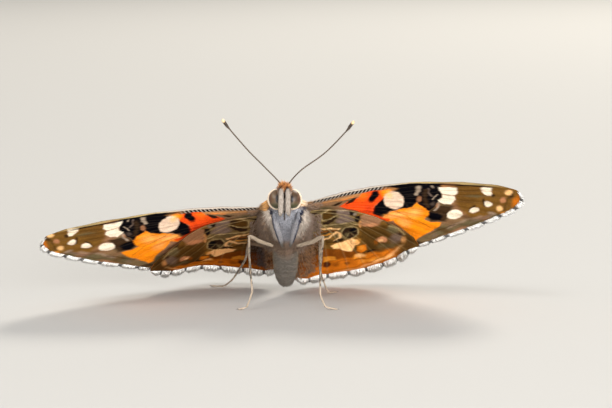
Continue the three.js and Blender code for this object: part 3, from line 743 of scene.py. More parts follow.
HIND_UNDER = [
    patch("khaki", [(-2, 1), (5.8, 0.8), (6.6, -2), (6.8, -5.4), (5.4, -9.6), (2.4, -9.0), (-2, -8)], 0.6,
          0.6),
    patch("olive dark", [(6.8, -6.2), (9.0, -6.4), (11.2, -6.0), (13.4, -8.8), (13.6, -12.8), (9.8, -13.6),
                         (8.3, -12.0), (7.2, -9.6)], 0.5, 0.9),
    patch("orange deep", [(-2.5, -16.2), (2.0, -15.6), (6.0, -15.2), (9.4, -14.2), (12.2, -13.2),
                          (12.0, -18), (6, -22), (-2.5, -21.5)], 0.8, 0.95),
    patch("rust", [(-2.5, -11.0), (2.0, -12.0), (4.2, -12.4), (6.3, -13.6), (7.4, -14.4), (6.6, -15.6),
                   (4.2, -15.6), (2.0, -17.0), (-2.5, -17.4)], 0.45, 0.9),
    patch("dusk", [(-1.6, -8.6), (1.9, -8.4), (2.1, -12.6), (0.2, -13.6), (-1.8, -13.0)], 0.5, 0.8),
    patch("mauve", [(3.9, -0.6), (5.9, -0.9), (5.8, -2.0), (5.6, -3.2), (6.3, -4.4), (5.0, -5.0),
                    (3.9, -4.4), (4.3, -2.8), (3.8, -1.6)], 0.3),
    oval("stone", (5.0, -1.2), (0.7, 0.5), 0, 0.35, 0.5),
    stroke("soot", [(1.0, -1.3), (1.8, -0.85), (2.7, -0.35)], 0.6, 0.14),
    oval("stone", (2.95, -0.6), (0.5, 0.32), 0, 0.2, 0.5),
    patch("olive dark", [(2.25, -1.55), (3.0, -1.0), (3.6, -0.75), (4.0, -1.4), (3.85, -2.4), (3.2, -3.0),
                         (2.3, -3.2)], 0.14),
    oval("soot", (3.7, -1.5), (0.36, 0.75), 0, 0.2, 0.9),
    patch("olive dark", [(0.8, -1.95), (1.8, -1.75), (1.85, -3.1), (0.9, -3.3)], 0.14),
    patch("soot", [(2.0, -4.5), (2.2, -3.9), (3.0, -3.55), (3.9, -2.85), (4.05, -3.3), (3.5, -4.1),
                   (2.9, -4.5)]),
    stroke("vein cream", [(0.6, -1.85), (2.1, -1.55), (3.0, -0.85), (4.2, -0.3)], 0.15),
    stroke("vein cream", [(2.05, -1.5), (2.12, -3.5)], 0.15),
    stroke("vein cream", [(0.9, -3.55), (2.1, -3.45), (3.3, -3.2), (4.1, -2.5)], 0.13, 0.1, 0.9),
    stroke("vein cream", [(0.4, -3.9), (2.0, -4.9), (3.1, -4.75), (4.3, -4.9), (5.6, -5.0), (7.0, -5.8)],
           0.17, 0.1),
    patch("black", [(5.55, -1.8), (6.2, -1.5), (6.6, -2.2), (6.3, -3.1), (5.7, -2.9)], 0.12, 0.95),
    oval("stone", (6.2, -2.75), (0.22, 0.3), 0, 0.12, 0.6),
    patch("black", [(6.3, -3.3), (6.95, -3.1), (7.05, -4.2), (6.6, -4.9), (6.2, -4.3)], 0.12, 0.95),
    patch("pinkish", [(7.0, -3.4), (7.6, -2.9), (9.4, -3.8), (9.9, -5.1), (9.2, -6.1), (7.6, -6.4),
                      (7.0, -5.6)], 0.22),
    oval("rose", (8.2, -6.1), (1.1, 0.45), -4, 0.25, 0.9),
    stroke("tan", [(6.95, -4.6), (6.95, -6.4)], 0.25, 0.14, 0.9),
    stroke("soot", [(9.8, -4.2), (10.3, -5.3), (11.0, -6.4)], 0.5, 0.25, 0.85),
    stroke("sepia", [(7.4, -7.2), (9.0, -7.0), (10.6, -7.4)], 0.4, 0.3, 0.7),
    oval("khaki", (11.3, -7.7), (0.75, 1.2), 0, 0.3, 0.9),
    stroke("vein cream", [(10.8, -6.7), (11.9, -7.6), (12.8, -9.4)], 0.22, 0.16, 0.55),
    oval("mauve", (11.8, -10.4), (0.8, 1.5), 0, 0.4, 0.7),
    oval("soot", (12.2, -9.2), (0.25, 0.55), 0, 0.14, 0.7),
    oval("tan", (12.75, -11.0), (0.28, 1.0), 0, 0.2, 0.9),
    oval("khaki", (10.6, -12.8), (1.1, 0.9), 0, 0.5, 0.5),
    oval("rose", (9.95, -10.7), (0.68, 0.85), 0, 0.2, 0.95),
    oval("peach", (9.8, -10.9), (0.3, 0.4), 0, 0.2, 0.8),
    oval("rust", (9.2, -11.3), (0.25, 0.5), 0, 0.2, 0.8),
    patch("soot", [(1.0, -4.5), (1.7, -4.7), (1.8, -5.4), (1.1, -5.4)], 0.12, 0.9),
    stroke("peach", [(1.9, -5.6), (2.6, -5.9), (3.2, -5.9), (4.2, -6.3)], 0.36, 0.2, 0.75),
    stroke("rust", [(1.3, -6.9), (2.6, -6.6), (3.9, -6.8)], 0.34, 0.14, 0.9),
    stroke("soot", [(2.0, -7.3), (3.0, -6.9), (3.9, -7.2)], 0.3, 0.14, 0.9),
    stroke("amber", [(1.7, -7.7), (2.3, -7.7), (3.4, -7.5)], 0.34, 0.2, 0.7),
    stroke("sepia", [(1.2, -8.4), (2.4, -8.2)], 0.3, 0.14, 0.9),
    stroke("peach", [(2.3, -9.0), (3.2, -8.5), (4.1, -7.3), (4.55, -7.7), (4.45, -8.8), (3.9, -9.7)], 0.38,
           0.2, 0.75),
    oval("olive", (3.6, -8.9), (0.45, 0.5), 0, 0.16, 0.9),
    patch("soot", [(3.5, -10.2), (4.2, -9.3), (4.9, -9.3), (5.0, -9.9), (4.2, -10.5)], 0.14, 0.95),
    oval("vein cream", (5.75, -7.7), (1.12, 1.85), 4, 0.12, 0.75),
    oval("soot", (5.75, -7.7), (0.98, 1.6), 4, 0.14),
    oval("khaki", (5.3, -8.2), (0.34, 0.6), 0, 0.2, 0.6),
    oval("black", (6.15, -7.2), (0.42, 0.75), 0, 0.16),
    patch("peach", [(3.3, -11.1), (3.9, -10.7), (4.8, -10.5), (5.6, -9.9), (6.0, -9.4), (6.8, -10.3),
                    (7.1, -11.3), (6.5, -11.8), (6.3, -12.5), (6.0, -13.5), (5.2, -13.4), (4.4, -12.5),
                    (3.7, -12.0)], 0.18),
    oval("amber", (6.75, -10.8), (0.4, 0.8), 0, 0.3, 0.6),
    stroke("tan", [(5.9, -10.0), (6.0, -12.6)], 0.14, 0.1, 0.6),
    patch("orange deep", [(6.75, -12.2), (7.9, -11.9), (8.0, -13.4), (7.3, -14.2), (6.7, -13.6)], 0.16),
    oval("amber", (7.3, -12.8), (0.3, 0.5), 0, 0.25, 0.7),
    stroke("black", [(8.3, -14.0), (8.8, -13.6), (9.3, -13.6)], 0.42, 0.14, 0.95),
    oval("sepia", (9.8, -13.6), (0.8, 0.7), 0, 0.4, 0.8),
    oval("amber", (7.15, -15.4), (0.85, 1.0), 0, 0.25, 0.8),
    oval("peach", (7.2, -15.1), (0.6, 0.6), 0, 0.3, 0.7),
    stroke("rust", [(6.7, -16.2), (7.7, -16.2)], 0.35, 0.2, 0.9),
    patch("amber", [(2.4, -14.4), (3.9, -14.5), (4.1, -15.8), (2.5, -16.2)], 0.2, 0.95),
    oval("maroon", (2.85, -17.1), (0.55, 0.85), 0, 0.2, 0.95),
    oval("rust", (4.0, -17.2), (0.5, 0.7), 0, 0.3, 0.7),
    oval("rust", (5.6, -17.4), (0.4, 0.5), 0, 0.18, 0.85),
    stroke("rust", [(4.2, -16.4), (6.0, -16.2), (8.0, -16.2), (9.6, -15.2)], 0.3, 0.25, 0.55),
    stroke("amber", [(7.6, -17.2), (9.4, -16.7), (10.9, -16.0)], 0.9, 0.4, 0.75),
    stroke("peach", [(9.0, -17.3), (10.6, -16.6), (11.4, -15.6)], 0.3, 0.25, 0.6),
    stroke("rust", [(0.4, -17.4), (1.2, -17.0)], 0.35, 0.2, 0.9),
    stroke("rust", [(11.8, -13.4), (10.3, -15.8), (8.6, -17.6), (6.2, -18.8), (3.2, -19.2), (0.6, -18.6)],
           0.16, 0.14, 0.75),
    stroke("peach", [(12.5, -12.6), (11.4, -15.2), (9.6, -17.5), (7.2, -19.1), (4.0, -19.9)], 0.4,
           0.3, 0.5),
    patch("sepia", [(12.0, -11.4), (15.4, -11.6), (14.2, -14.6), (12.0, -15.2)], 0.5, 0.6),
]

FORE_UPPER = [
    patch("hair brown", [(-2, 3), (4.5, 2.5), (6.4, 0.4), (5.6, -3.5), (8.5, -8.5), (6, -10), (-2, -3)],
          1.2, 0.9),
    patch("black", BLACK_FIELD, 0.12),
    patch("black", [(14.0, 6), (29, 6), (29, -1), (26, -4.5), (23, -7.5), (20.6, -9.6), (18.3, -8.0),
                    (18.2, -5.0), (16.2, -4.6), (15.6, -3.4), (14.4, -1.8)], 0.3),
    patch("soot", [(19.4, -7.8), (22.4, -8.4), (17.6, -14.6), (13.9, -15.2), (13.9, -13.2), (15.7, -11.6)],
          0.35),
    oval("salmon", (11.15, -0.7), (1.15, 2.3), 8, 0.2),
    oval("orange pale", (11.0, -0.2), (0.6, 1.4), 8, 0.6, 0.4),
    oval("black", (8.62, 0.7), (0.6, 1.5), -14, 0.14),
    stroke("black", [(8.3, -0.6), (8.9, -2.2), (9.4, -3.6)], 0.75, 0.2),
    oval("black", (16.3, -5.0), (0.95, 1.05), 0, 0.16),
    oval("black", (13.2, -9.4), (0.55, 0.7), -30, 0.16),
    *[patch("white", corners, 0.12) for corners in COSTAL_SPOTS],
    patch("white", [(21.9, 2.8), (22.3, 3.1), (23.0, 3.1), (22.9, 1.6), (22.4, 1.6)]),
    *[oval("white", centre, (half[0] * 0.8, half[1] * 0.8), turn, 0.12)
      for centre, half, turn in WHITE_SPOTS],
    stroke("stone", [(25.4, 1.6), (24.9, -0.8), (24.2, -3.0), (22.6, -5.2)], 0.28, 0.22, 0.6),
    stroke("olive", [(0.6, 0.3), (6.0, 1.6), (14.0, 2.6)], 0.5, 0.3, 0.6),
]

HIND_UPPER = [
    patch("hair brown", [(-3, 1), (6.2, 0.5), (7.6, -3.6), (5.4, -6.5), (4.2, -9.0), (2.4, -13.0),
                         (1.2, -19), (-3, -19)], 1.2, 0.95),
    patch("sepia", [(5, 0), (9, -3), (14.5, -9.5), (13.4, -12.5), (10.8, -8.6), (7.6, -5.6)], 0.6, 0.85),
    patch("soot", [(7.4, -4.6), (9.6, -5.2), (10.6, -7.2), (9.0, -7.4), (8.0, -8.6), (6.9, -8.2),
                   (6.3, -6.2)], 0.3),
    patch("soot", [(5.9, -8.2), (6.9, -9.2), (6.2, -10.0), (5.2, -9.6), (4.7, -8.8)], 0.25),
    *[oval("black", centre, (radius * 0.95, radius * 0.95), 0, 0.14) for centre, radius in EYESPOTS],
    oval("navy", (9.9, -9.9), (0.3, 0.3), 0, 0.14, 0.5),
    oval("navy", (3.0, -16.1), (0.3, 0.3), 0, 0.14, 0.5),
]
# How a wing's own places are read as places in the tables above, where the two differ
SHIFTS = {
    ("hind", "left"): lambda u, v: (u, v - 0.055 * np.maximum(-4 - v, 0)),
    ("fore", "left"): lambda u, v: (u, v + 0.45),
    ("fore", "right"): lambda u, v: (u - 0.5, v + 0.45 - 0.03 * u),
}
MARKS = {("fore", True): FORE_UNDER, ("hind", True): HIND_UNDER,
         ("fore", False): FORE_UPPER, ("hind", False): HIND_UPPER}


def wing_paint(kind, label, grid, crest, under):
    """Colours for one face of a wing, from its marks, veins, margin, scales and painted shade."""
    u, v = grid["u"], grid["v"]
    shift = SHIFTS.get((kind, label))
    mark_u, mark_v = shift(u, v) if shift else (u, v)
    seed = 11 if kind == "fore" else 31
    drift = ripple(u, v, 2.2, seed + 7)
    fine = ripple(u, v * 2.0, 0.5, seed + 8)
    if not under:
        base = blend("salmon", "orange", smoothstep(drift, -0.8, 1.2) * 0.5)
        base = base * (1 + 0.06 * fine)[..., None]
    elif kind == "fore":
        base = blend("pinkish", "khaki", smoothstep(drift, -0.6, 0.6))
    else:
        base = blend("olive dark", "olive", smoothstep(drift + 0.4 * fine, -0.5, 0.8))
    paint = lay_on(base, MARKS[kind, under], mark_u, mark_v, seed if under else seed + 50)
    share, column = grid["share"], grid["column"]
    if kind == "hind":
        outer = smoothstep(share, 0.9, 0.93) * (1 - smoothstep(share, 0.945, 0.97))
        near_vein = np.abs(column - np.round(column))
        lozenge = np.exp(-(near_vein / 0.22) ** 2) * smoothstep(share, 0.84, 0.88)
        if under:
            paint = blend(paint, "soot", outer * 0.35)
        else:
            paint = blend(paint, "black", np.maximum(outer, lozenge) * 0.95)
    if not under:
        paint = blend(paint, "soot", crest * 0.45)
    elif kind == "fore":
        paint = blend(paint, "stone", crest * 0.04)
    else:
        inner = 1 - smoothstep(share, 0.35, 0.62)
        paint = blend(paint, "vein cream", crest * (0.3 * inner + 0.14))
    # Painted shade: the right hindwing's under side is darkened all over, and more beside the body.
    if under and kind == "hind" and label == "right":
        shadow = (1 - smoothstep(u, 1.5, 5.5)) * smoothstep(-v, 8, 11)
        paint = paint * [0.76, 0.68, 0.63] * (1 - 0.4 * shadow[..., None])
    grains = ripple(u, v, 0.13, seed + 20)
    return np.clip(paint * (1 + 0.13 * grains + 0.05 * ripple(u, v, 0.4, seed + 21))[..., None], 0, 1)


DASH_SPACING = 0.48


def costa_dashes(paint, grid):
    """Slanting black and white dashes along the front of the forewing's under side, and its rim."""
    u, v = grid["u"], grid["v"]
    depth = v[:, :1] - v
    band = smoothstep(depth, 0.03, 0.07) * (1 - smoothstep(depth, 0.62, 0.8))
    band = band * smoothstep(u, 0.7, 1.3) * (1 - smoothstep(u, 9.0, 11.0))
    stripe = smoothstep(np.sin((u + 0.5 * depth) * 2 * np.pi / DASH_SPACING), 0.2, 0.7)
    dashes = blend("black", "costa", stripe)
    paint = blend(paint, dashes, band)
    line = smoothstep(depth, 0.03, 0.08) * (1 - smoothstep(depth, 0.26, 0.4)) * smoothstep(u, 9.0, 11.0)
    paint = blend(paint, "black", 0.85 * line * (1 - smoothstep(u, 22, 25)))
    edge = (1 - smoothstep(depth, 0.0, 0.05)) * (1 - smoothstep(u, 22, 26))
    rim = blend("costa", "vein cream", smoothstep(u, 9, 14))
    return blend(paint, rim, edge * 0.9)


def wing_uv(u, v, face):
    """Plan places on the wing's own unwrap: the upper face in one half, the under face in the other."""
    across = (u + 2) / 30.5 * 0.46 + (0.01 if face > 0 else 0.51)
    return np.stack([across, (v + 21.8) / 26.5 * 0.96 + 0.01], axis=-1).reshape(-1, 2)


# Each wing's margin and inner edge, kept for its fringe and hair
EDGES = {}


def make_wing(kind, label):
    """A wing: one closed sheet with raised veins and pleats, painted on both faces."""
    pose = POSES[label]
    grid = wing_grid(kind)
    crest, pleat = vein_relief(grid)
    u, v, share = grid["u"], grid["v"], grid["share"]
    if label == "right":
        u, v = swung(kind, u, v, share)
    lift = wing_lift(kind, pose, u, v)
    fade = smoothstep(share, 0.03, 0.2) * (1 - 0.6 * smoothstep(share, 0.8, 1))
    wave = 0.05 * ripple(u, v, 1.7, 5) + 0.02 * ripple(u, v, 0.5, 6)
    lift = lift + fade * (wave - PLEAT_DEPTH * pleat)
    front = np.linalg.norm(np.stack([u - u[:, :1], v - v[:, :1]]), axis=0)
    bead = COSTA_HEIGHT * np.exp(-(front / 0.2) ** 2) * (kind == "fore") * (1 - 0.6 * share)
    half = MEMBRANE * (1 - 0.5 * smoothstep(share, 0.85, 1)) + bead
    half = half * (0.35 + 0.65 * smoothstep(front, 0, 0.16))
    ridge = VEIN_HEIGHT * crest * (1 - 0.5 * share) * fade
    hidden = smoothstep(v, fore_back_edge(u) - 0.4, fore_back_edge(u) + 0.6) if kind == "hind" else 0
    middle = wing_surface(pose, u, v, lift)
    EDGES[kind, label] = dict(
        margin=(middle[-1], middle[-20], [grid["column"][-1], u[-1], v[-1]]),
        inner=(middle[:, -1], middle[:, -6], [share[:, -1], u[:, -1], v[:, -1]]))
    faces = [wing_surface(pose, u, v, lift + half + ridge * (1 - hidden)),
             wing_surface(pose, u, v, lift - half - ridge)]
    paints = [wing_paint(kind, label, grid, crest, under) for under in (False, True)]
    if kind == "fore":
        paints[1] = costa_dashes(paints[1], grid)
        paints[0][:, :1] = COLOURS["costa"] * 0.6
    part = dict(points=np.concatenate(faces).reshape(-1, 3), paint=np.concatenate(paints).reshape(-1, 3),
                uv=np.concatenate([wing_uv(u, v, 1), wing_uv(u, v, -1)]), blocks=sheet_faces(*u.shape))
    make_piece(f"{kind}wing_scales_{label}", part, MATERIALS["wing"],
               [f"{kind}wing_{label}"])


def along_edge(edge, inner, followed, count, draw):
    """Random places on a wing's edge: each one's place, the ways out of the wing, along the edge and
    up, the followed values there, and how many mm one step of the first of those takes."""
    run = unit(np.gradient(edge, axis=0))
    out = unit(edge - inner)
    reach = running_length(edge)
    spots = draw.uniform(0, reach[-1], count)

    def at(values):
        return np.stack([np.interp(spots, reach, column) for column in values.T], axis=-1)

    out, run = unit(at(out)), unit(at(run))
    up = unit(np.cross(run, out))
    up = up * np.sign(up[:, 2:])
    step = np.gradient(reach) / np.maximum(np.abs(np.gradient(followed[0])), 1e-4)
    return dict(place=at(edge), out=out, run=run, up=up, spacing=np.interp(spots, reach, step),
                followed=[np.interp(spots, reach, values) for values in followed])


def make_fringe(kind, label):
    """Long white scales on a wing's outer margin, in a lobe between each two veins."""
    draw = np.random.default_rng(SEEDS["fringe"])
    wing = WINGS[kind]
    count = TUFTS["fringe"]
    edge = along_edge(*EDGES[kind, label]["margin"], count, draw)
    column, u, v = edge["followed"]
    weight = np.interp(column, np.arange(len(wing["veins"])), wing["edge"])
    near = np.abs(column - np.round(column)) * edge["spacing"]
    lobe = 1 - np.exp(-(near / 0.42) ** 2)
    dark = 1 - smoothstep(near, wing["notch"] * 0.6, wing["notch"] * 1.35)
    length = wing["fringe"] * weight * (0.5 + 0.55 * lobe) * draw.uniform(0.85, 1.08, count) + 0.1
    paint = blend("fringe", "fringe dark", dark * 0.9)
    paint = paint * draw.uniform(0.88, 1.08, (count, 1))
    place = edge["place"] - edge["out"] * 0.2 + edge["up"] * draw.uniform(-0.05, 0.05, (count, 1))
    out = unit(edge["out"] - np.array([0, 0, wing["hang"]]))
    up = unit(edge["up"] - out * np.sum(edge["up"] * out, axis=1, keepdims=True))
    lie = jitter(out, draw, 0.08)
    width = 0.15 * draw.uniform(0.7, 1.2, count)
    kept = weight > 0.2
    part = tufts(place[kept], lie[kept], up[kept], length[kept] + 0.1, width[kept], paint[kept],
                 wing_uv(u, v, -1)[kept], rise=0.05, sink=0.0, flat=0.16, root_shade=0.9)
    make_piece(f"{kind}wing_fringe_{label}", part, MATERIALS["fur"])


def on_wing(kind, label, u, v, way, face):
    """Places on a wing's face, their outward normals, and the plan's direction laid on the face."""
    pose = POSES[label]

    def at(a, b):
        return wing_surface(pose, a, b, wing_lift(kind, pose, a, b))

    span = unit(at(u + 0.03, v) - at(u - 0.03, v))
    chord = unit(at(u, v + 0.03) - at(u, v - 0.03))
    normal = unit(np.cross(span, chord))
    normal = normal * np.sign(normal[:, 2:]) * face
    return at(u, v) + normal * MEMBRANE, normal, unit(span * way[:, :1] + chord * way[:, 1:])


# Hair on the wings: the wing, its face, how many hairs, from where to where outward, their length in
# mm, and the way they lie in the plan
HAIR = [
    ("fore", 1, 2600, (-0.8, 7.5), 1.25, (1.0, -0.45)),
    ("hind", 1, 3600, (-1.4, 6.0), 1.35, (0.3, -1.0)),
    ("hind", -1, 4000, (-1.4, 1.9), 1.05, (0.3, -1.0)),
    ("fore", -1, 500, (-0.8, 2.0), 0.5, (1.0, -0.2)),
]


def hair_paint(label, face, u, v, tone):
    """Golden above. Below, grey-brown beside the thorax and brown behind, darkened as painted shade on the
    right wing.
    """
    if face > 0:
        return blend("hair brown", "hair gold", tone)
    rear = blend("hair brown", "tan", tone)
    # Painted shade: the hair behind, on the right wing's under side, is darkened.
    if label == "right":
        rear = blend(rear, blend("maroon", "dusk", tone), smoothstep(u, -0.3, 0.5))
    return blend(blend("taupe", "taupe warm", tone), rear, smoothstep(-v, 6.5, 10))


def make_wing_hair(label):
    """Long hair over the wing bases above, fuzz beside the body below, and a brush of hair along the
    hindwing's inner edge."""
    draw = np.random.default_rng(SEEDS["wing_hair"])
    parts = []
    for kind, face, count, span, size, way in HAIR:
        u = span[0] + (span[1] - span[0]) * draw.uniform(0, 1, count) ** 1.5
        if kind == "fore":
            v = mix(0.35 + 0.2 * np.minimum(u, 5), fore_back_edge(u), draw.uniform(0.05, 0.98, count))
            fade = np.clip(1.1 - u / 8, 0.2, 1)
        else:
            depth = draw.uniform(0, 1, count) ** 0.8
            first = np.minimum(fore_back_edge(u) + 0.6, -2.0) if face > 0 else -0.9 - 0.2 * u
            v = mix(first, -17.0, depth)
            fade = np.clip(1.15 - np.maximum(u, 0) / 6.5 - 0.25 * depth, 0.2, 1)
        inside = (kind == "fore") | (u > -1.35 + 0.5 * smoothstep(-v, 9, 4))
        u, v, fade = u[inside], v[inside], fade[inside]
        count = len(u)
        lie_plan = np.array(way) + np.stack([0.05 * u, 0 * u], axis=-1)
        roots, normals, lie = on_wing(kind, label, u, v, lie_plan, face)
        paint = hair_paint(label, face, u, v, draw.uniform(0, 1, count))
        length = size * fade * draw.uniform(0.6, 1.2, count)
        lie = jitter(lie, draw, 0.13)
        width = 0.07 * draw.uniform(0.7, 1.3, count)
        parts.append(tufts(roots, lie, normals, length, width, paint, wing_uv(u, v, face), rise=0.22,
                           sink=0.03))
    count = TUFTS["inner_edge"]
    edge = along_edge(*EDGES["hind", label]["inner"], count, draw)
    share, u, v = edge["followed"]
    rear = edge["run"] * np.sign(-edge["run"][:, 2:])
    length = (0.9 - 0.35 * share) * draw.uniform(0.6, 1.2, count)
    paint = blend("hair brown", "hair gold", draw.uniform(0, 1, count))
    lie = jitter(edge["out"] * 0.45 + rear, draw, 0.15)
    parts.append(tufts(edge["place"], lie, edge["up"], length, 0.07, paint, wing_uv(u, v, 1), rise=0.1,
                       sink=0.02))
    make_piece(f"wing_hair_{label}", join(parts), MATERIALS["fur"])


# The body's skin: one loft from the face to the tail. Each station is its place (y, z), half
# width, and half height across the body's run.
STATIONS = np.array([
    (-3.98, 14.44, 0.05, 0.05), (-3.86, 14.39, 0.42, 0.62), (-3.45, 14.2, 0.66, 1.0),
    (-2.8, 13.9, 0.76, 1.16), (-2.1, 13.5, 0.8, 1.08), (-1.55, 13.05, 0.92, 0.98),
    (-1.1, 12.62, 1.5, 1.3), (-0.6, 12.2, 2.1, 1.7), (0.3, 11.5, 2.5, 2.05), (1.5, 10.55, 2.68, 2.2),
    (2.8, 9.55, 2.4, 2.05), (3.8, 8.7, 1.95, 1.75), (4.5, 8.0, 1.6, 1.5), (5.3, 7.2, 1.5, 1.4),
    (6.6, 5.85, 1.5, 1.38), (7.9, 4.5, 1.46, 1.34), (9.1, 3.2, 1.3, 1.2), (10.0, 2.25, 1.04, 0.96),
    (10.5, 1.7, 0.72, 0.66), (10.78, 1.4, 0.05, 0.05),
])
HEAD_END = 0.24
ABDOMEN_START = 0.6
ABDOMEN_RINGS = 8
CHEST_MIDDLE = 0.19


def station(share):
    """The skin's place, half width and half height at a share of the body's run."""
    return curve_through(STATIONS, np.clip(share, 0, 1) * (len(STATIONS) - 1))


def ring_line(along):
    """How near each place is to a line between two of the abdomen's rings, from 0 to 1."""
    rings = (along - ABDOMEN_START) / (1 - ABDOMEN_START) * ABDOMEN_RINGS
    return np.abs(np.cos(np.pi * rings))


def body_surface(along, angle):
    """Places, normals and rearward directions on the body's skin."""
    def at(share, turn):
        rows = station(share)
        run = unit(station(share + 0.01)[..., :2] - station(share - 0.01)[..., :2])
        groove = 0.03 * ring_line(share) ** 6 * (share > ABDOMEN_START)
        across = np.maximum(rows[..., 2], 0.04) * (1 - groove) * np.cos(turn)
        upward = np.maximum(rows[..., 3], 0.04) * (1 - groove) * np.sin(turn)
        return np.stack([across, rows[..., 0] - run[..., 1] * upward,
                         rows[..., 1] + run[..., 0] * upward], axis=-1)

    rearward = unit(at(np.clip(along + 0.004, 0, 1), angle) - at(np.clip(along - 0.004, 0, 1), angle))
    sideways = unit(at(along, angle + 0.01) - at(along, angle - 0.01))
    return at(along, angle), unit(np.cross(rearward, sideways)), rearward


def body_colour(points, outward):
    """The coat's colours by place on the body: blue-grey chest, taupe sides, grey abdomen, painted light
    and shade.
    """
    x, y, z = points.T
    side = np.abs(x - CHEST_MIDDLE)
    noise = ripple(x + 20, z, 0.8, 71)
    # Painted light and shade: the left side is lighter and the right side darker; the rest of the spread is
    # random tone.
    colour = blend("taupe", "taupe warm", 0.5 + 0.3 * noise + 0.3 * np.sign(x))
    back = smoothstep(outward[:, 2] + 0.45 * outward[:, 1], 0.1, 0.75)
    colour = blend(colour, blend("hair brown", "hair gold", 0.5 + 0.5 * noise), back)
    belly = blend("abdomen tan", "abdomen grey", smoothstep(-outward[:, 2], -0.2, 0.5))
    abdomen = blend(belly, "hair brown", smoothstep(outward[:, 2], 0.1, 0.6))
    colour = blend(colour, abdomen, smoothstep(y, 4.2, 5.4))
    front = smoothstep(-outward[:, 1] - 0.35 * outward[:, 2], -0.1, 0.3) * smoothstep(z, 6.4, 7.8)
    front = front * (1 - smoothstep(z, 12.6, 13.0)) * smoothstep(-y, -1.5, -0.2)
    past = side - (0.72 + (z - 8.2) * 0.2)
    inner = front * (1 - smoothstep(past, -0.1, 0.02))
    # Painted shade: a dark navy line down each side of the chest, in the crease beside the foreleg.
    dark = front * smoothstep(past, -0.18, -0.1) * (1 - smoothstep(past, 0.16, 0.24))
    pale = front * smoothstep(past, 0.16, 0.26) * (1 - smoothstep(past, 0.55, 0.95))
    colour = blend(colour, "blue grey", inner)
    colour = blend(colour, "pale border", 0.92 * pale)
    return blend(colour, "navy", dark)


def make_skin():
    """One skin for head, thorax and abdomen, darker than the coat over it."""
    rows, columns = 260, 112
    along = np.repeat(np.linspace(0, 1, rows), columns)
    angle = np.tile(np.arange(columns) / columns * 2 * np.pi, rows)
    places, outward, rearward = body_surface(along, angle)
    places = places + outward * 0.05 * ripple(along * 60, angle * 3, 0.7, 81)[:, None]
    behind_head = smoothstep(along, HEAD_END - 0.03, HEAD_END + 0.02)
    paint = blend(COLOURS["palp dark"] * 1.5, body_colour(places, outward) * 0.6, behind_head)
    part = dict(points=places, blocks=round_faces(rows, columns), paint=paint, uv=round_uv(along, angle))
    make_piece("body_skin", part, MATERIALS["skin"], ["head", "thorax", "abdomen"])


def coat(count, low, high, seed, keep=None):
    """Roots for tufts, spread evenly over a stretch of the body's skin."""
    draw = np.random.default_rng(seed)
    tries = count * 6
    along = draw.uniform(low, high, tries)
    angle = draw.uniform(0, 2 * np.pi, tries)
    rows = station(along)
    run = np.linalg.norm(station(along + 0.01)[:, :2] - station(along - 0.01)[:, :2], axis=1)
    area = np.maximum(rows[:, 2] + rows[:, 3], 0.1) * run
    taken = draw.uniform(0, area.max(), tries) < area
    places, outward, rearward = body_surface(along, angle)
    if keep is not None:
        taken &= keep(places, outward)
    chosen = np.flatnonzero(taken)[:count]
    uv = round_uv(along, angle)
    return places[chosen], outward[chosen], rearward[chosen], along[chosen], uv[chosen], draw


def make_thorax_fur():
    """Soft fur: longer on the back and sides, drooping below the wings, short on the chest."""
    roots, outward, rearward, along, uv, draw = coat(
        TUFTS["thorax"], HEAD_END - 0.02, ABDOMEN_START + 0.03, SEEDS["thorax"])
    x, y, z = roots.T
    count = len(roots)
    back = smoothstep(outward[:, 2], 0.1, 0.7)
    chest = smoothstep(-outward[:, 1], 0.2, 0.7) * (np.abs(x) < 1.9)
    side = smoothstep(np.abs(outward[:, 0]), 0.45, 0.85) * (1 - 0.75 * smoothstep(z, 11.4, 12.6))
    lie = jitter(rearward + np.array([0, 0, -0.35]) + outward * 0.5 * side[:, None], draw, 0.16)
    low = smoothstep(-z, -10.5, -8.5)
    length = 0.5 + 0.5 * back + (0.65 + 0.45 * low) * side * (1 - 0.5 * back) - 0.2 * chest
    length = length * draw.uniform(0.7, 1.25, count)
    paint = body_colour(roots, outward) * draw.uniform(0.85, 1.18, (count, 1))
    width = 0.1 * draw.uniform(0.7, 1.3, count)
    part = tufts(roots, lie, outward, length, width, paint, uv, rise=0.3 + 0.25 * back + 0.35 * side,
                 root_shade=0.7)
    make_piece("thorax_fur", part, MATERIALS["fur"])


# Each shoulder tuft: how many hairs, the colour of the palest, the two ends of the line of its roots,
# the place it is drawn to, and where its unwrap starts
SHOULDERS = {
    -1: dict(count=1000, pale="crown pale", low=(-1.55, -0.6, 12.25), high=(-1.6, -0.9, 13.55),
             point=(-3.1, -0.75, 12.45), uv_start=0.5),
    1: dict(count=700, pale="white", low=(1.5, -0.6, 12.9), high=(1.5, -0.9, 13.5),
            point=(2.8, -0.75, 12.95), uv_start=0.02),
}


def make_shoulder_tufts():
    """Long tan hair from behind each eye, drawn to a point over the front of the wing's base."""
    draw = np.random.default_rng(SEEDS["shoulders"])
    parts = []
    for side, plan in SHOULDERS.items():
        count = plan["count"]
        place = draw.uniform(0, 1, (count, 1))
        roots = mix(np.array(plan["low"]), np.array(plan["high"]), place) + draw.normal(0, 0.12, (count, 3))
        way = np.array(plan["point"]) - roots
        length = np.linalg.norm(way, axis=1) * draw.uniform(0.55, 1.0, count)
        normals = np.tile(unit(np.array([side * 0.1, -0.55, 0.85])), (count, 1))
        paint = blend("shoulder", plan["pale"], draw.uniform(0, 1, count))
        paint = blend(paint, "hair brown", (draw.uniform(0, 1, count) < 0.15) * 0.7)
        uv = np.stack([0.22 + 0.06 * place[:, 0], plan["uv_start"] + 0.1 * (roots[:, 1] + 1.2)], axis=-1)
        parts.append(tufts(roots, jitter(unit(way), draw, 0.1), normals, length, 0.09, paint, uv,
                           rise=0.12, droop=1.5, root_shade=0.75))
    make_piece("shoulder_tufts", join(parts), MATERIALS["fur"])


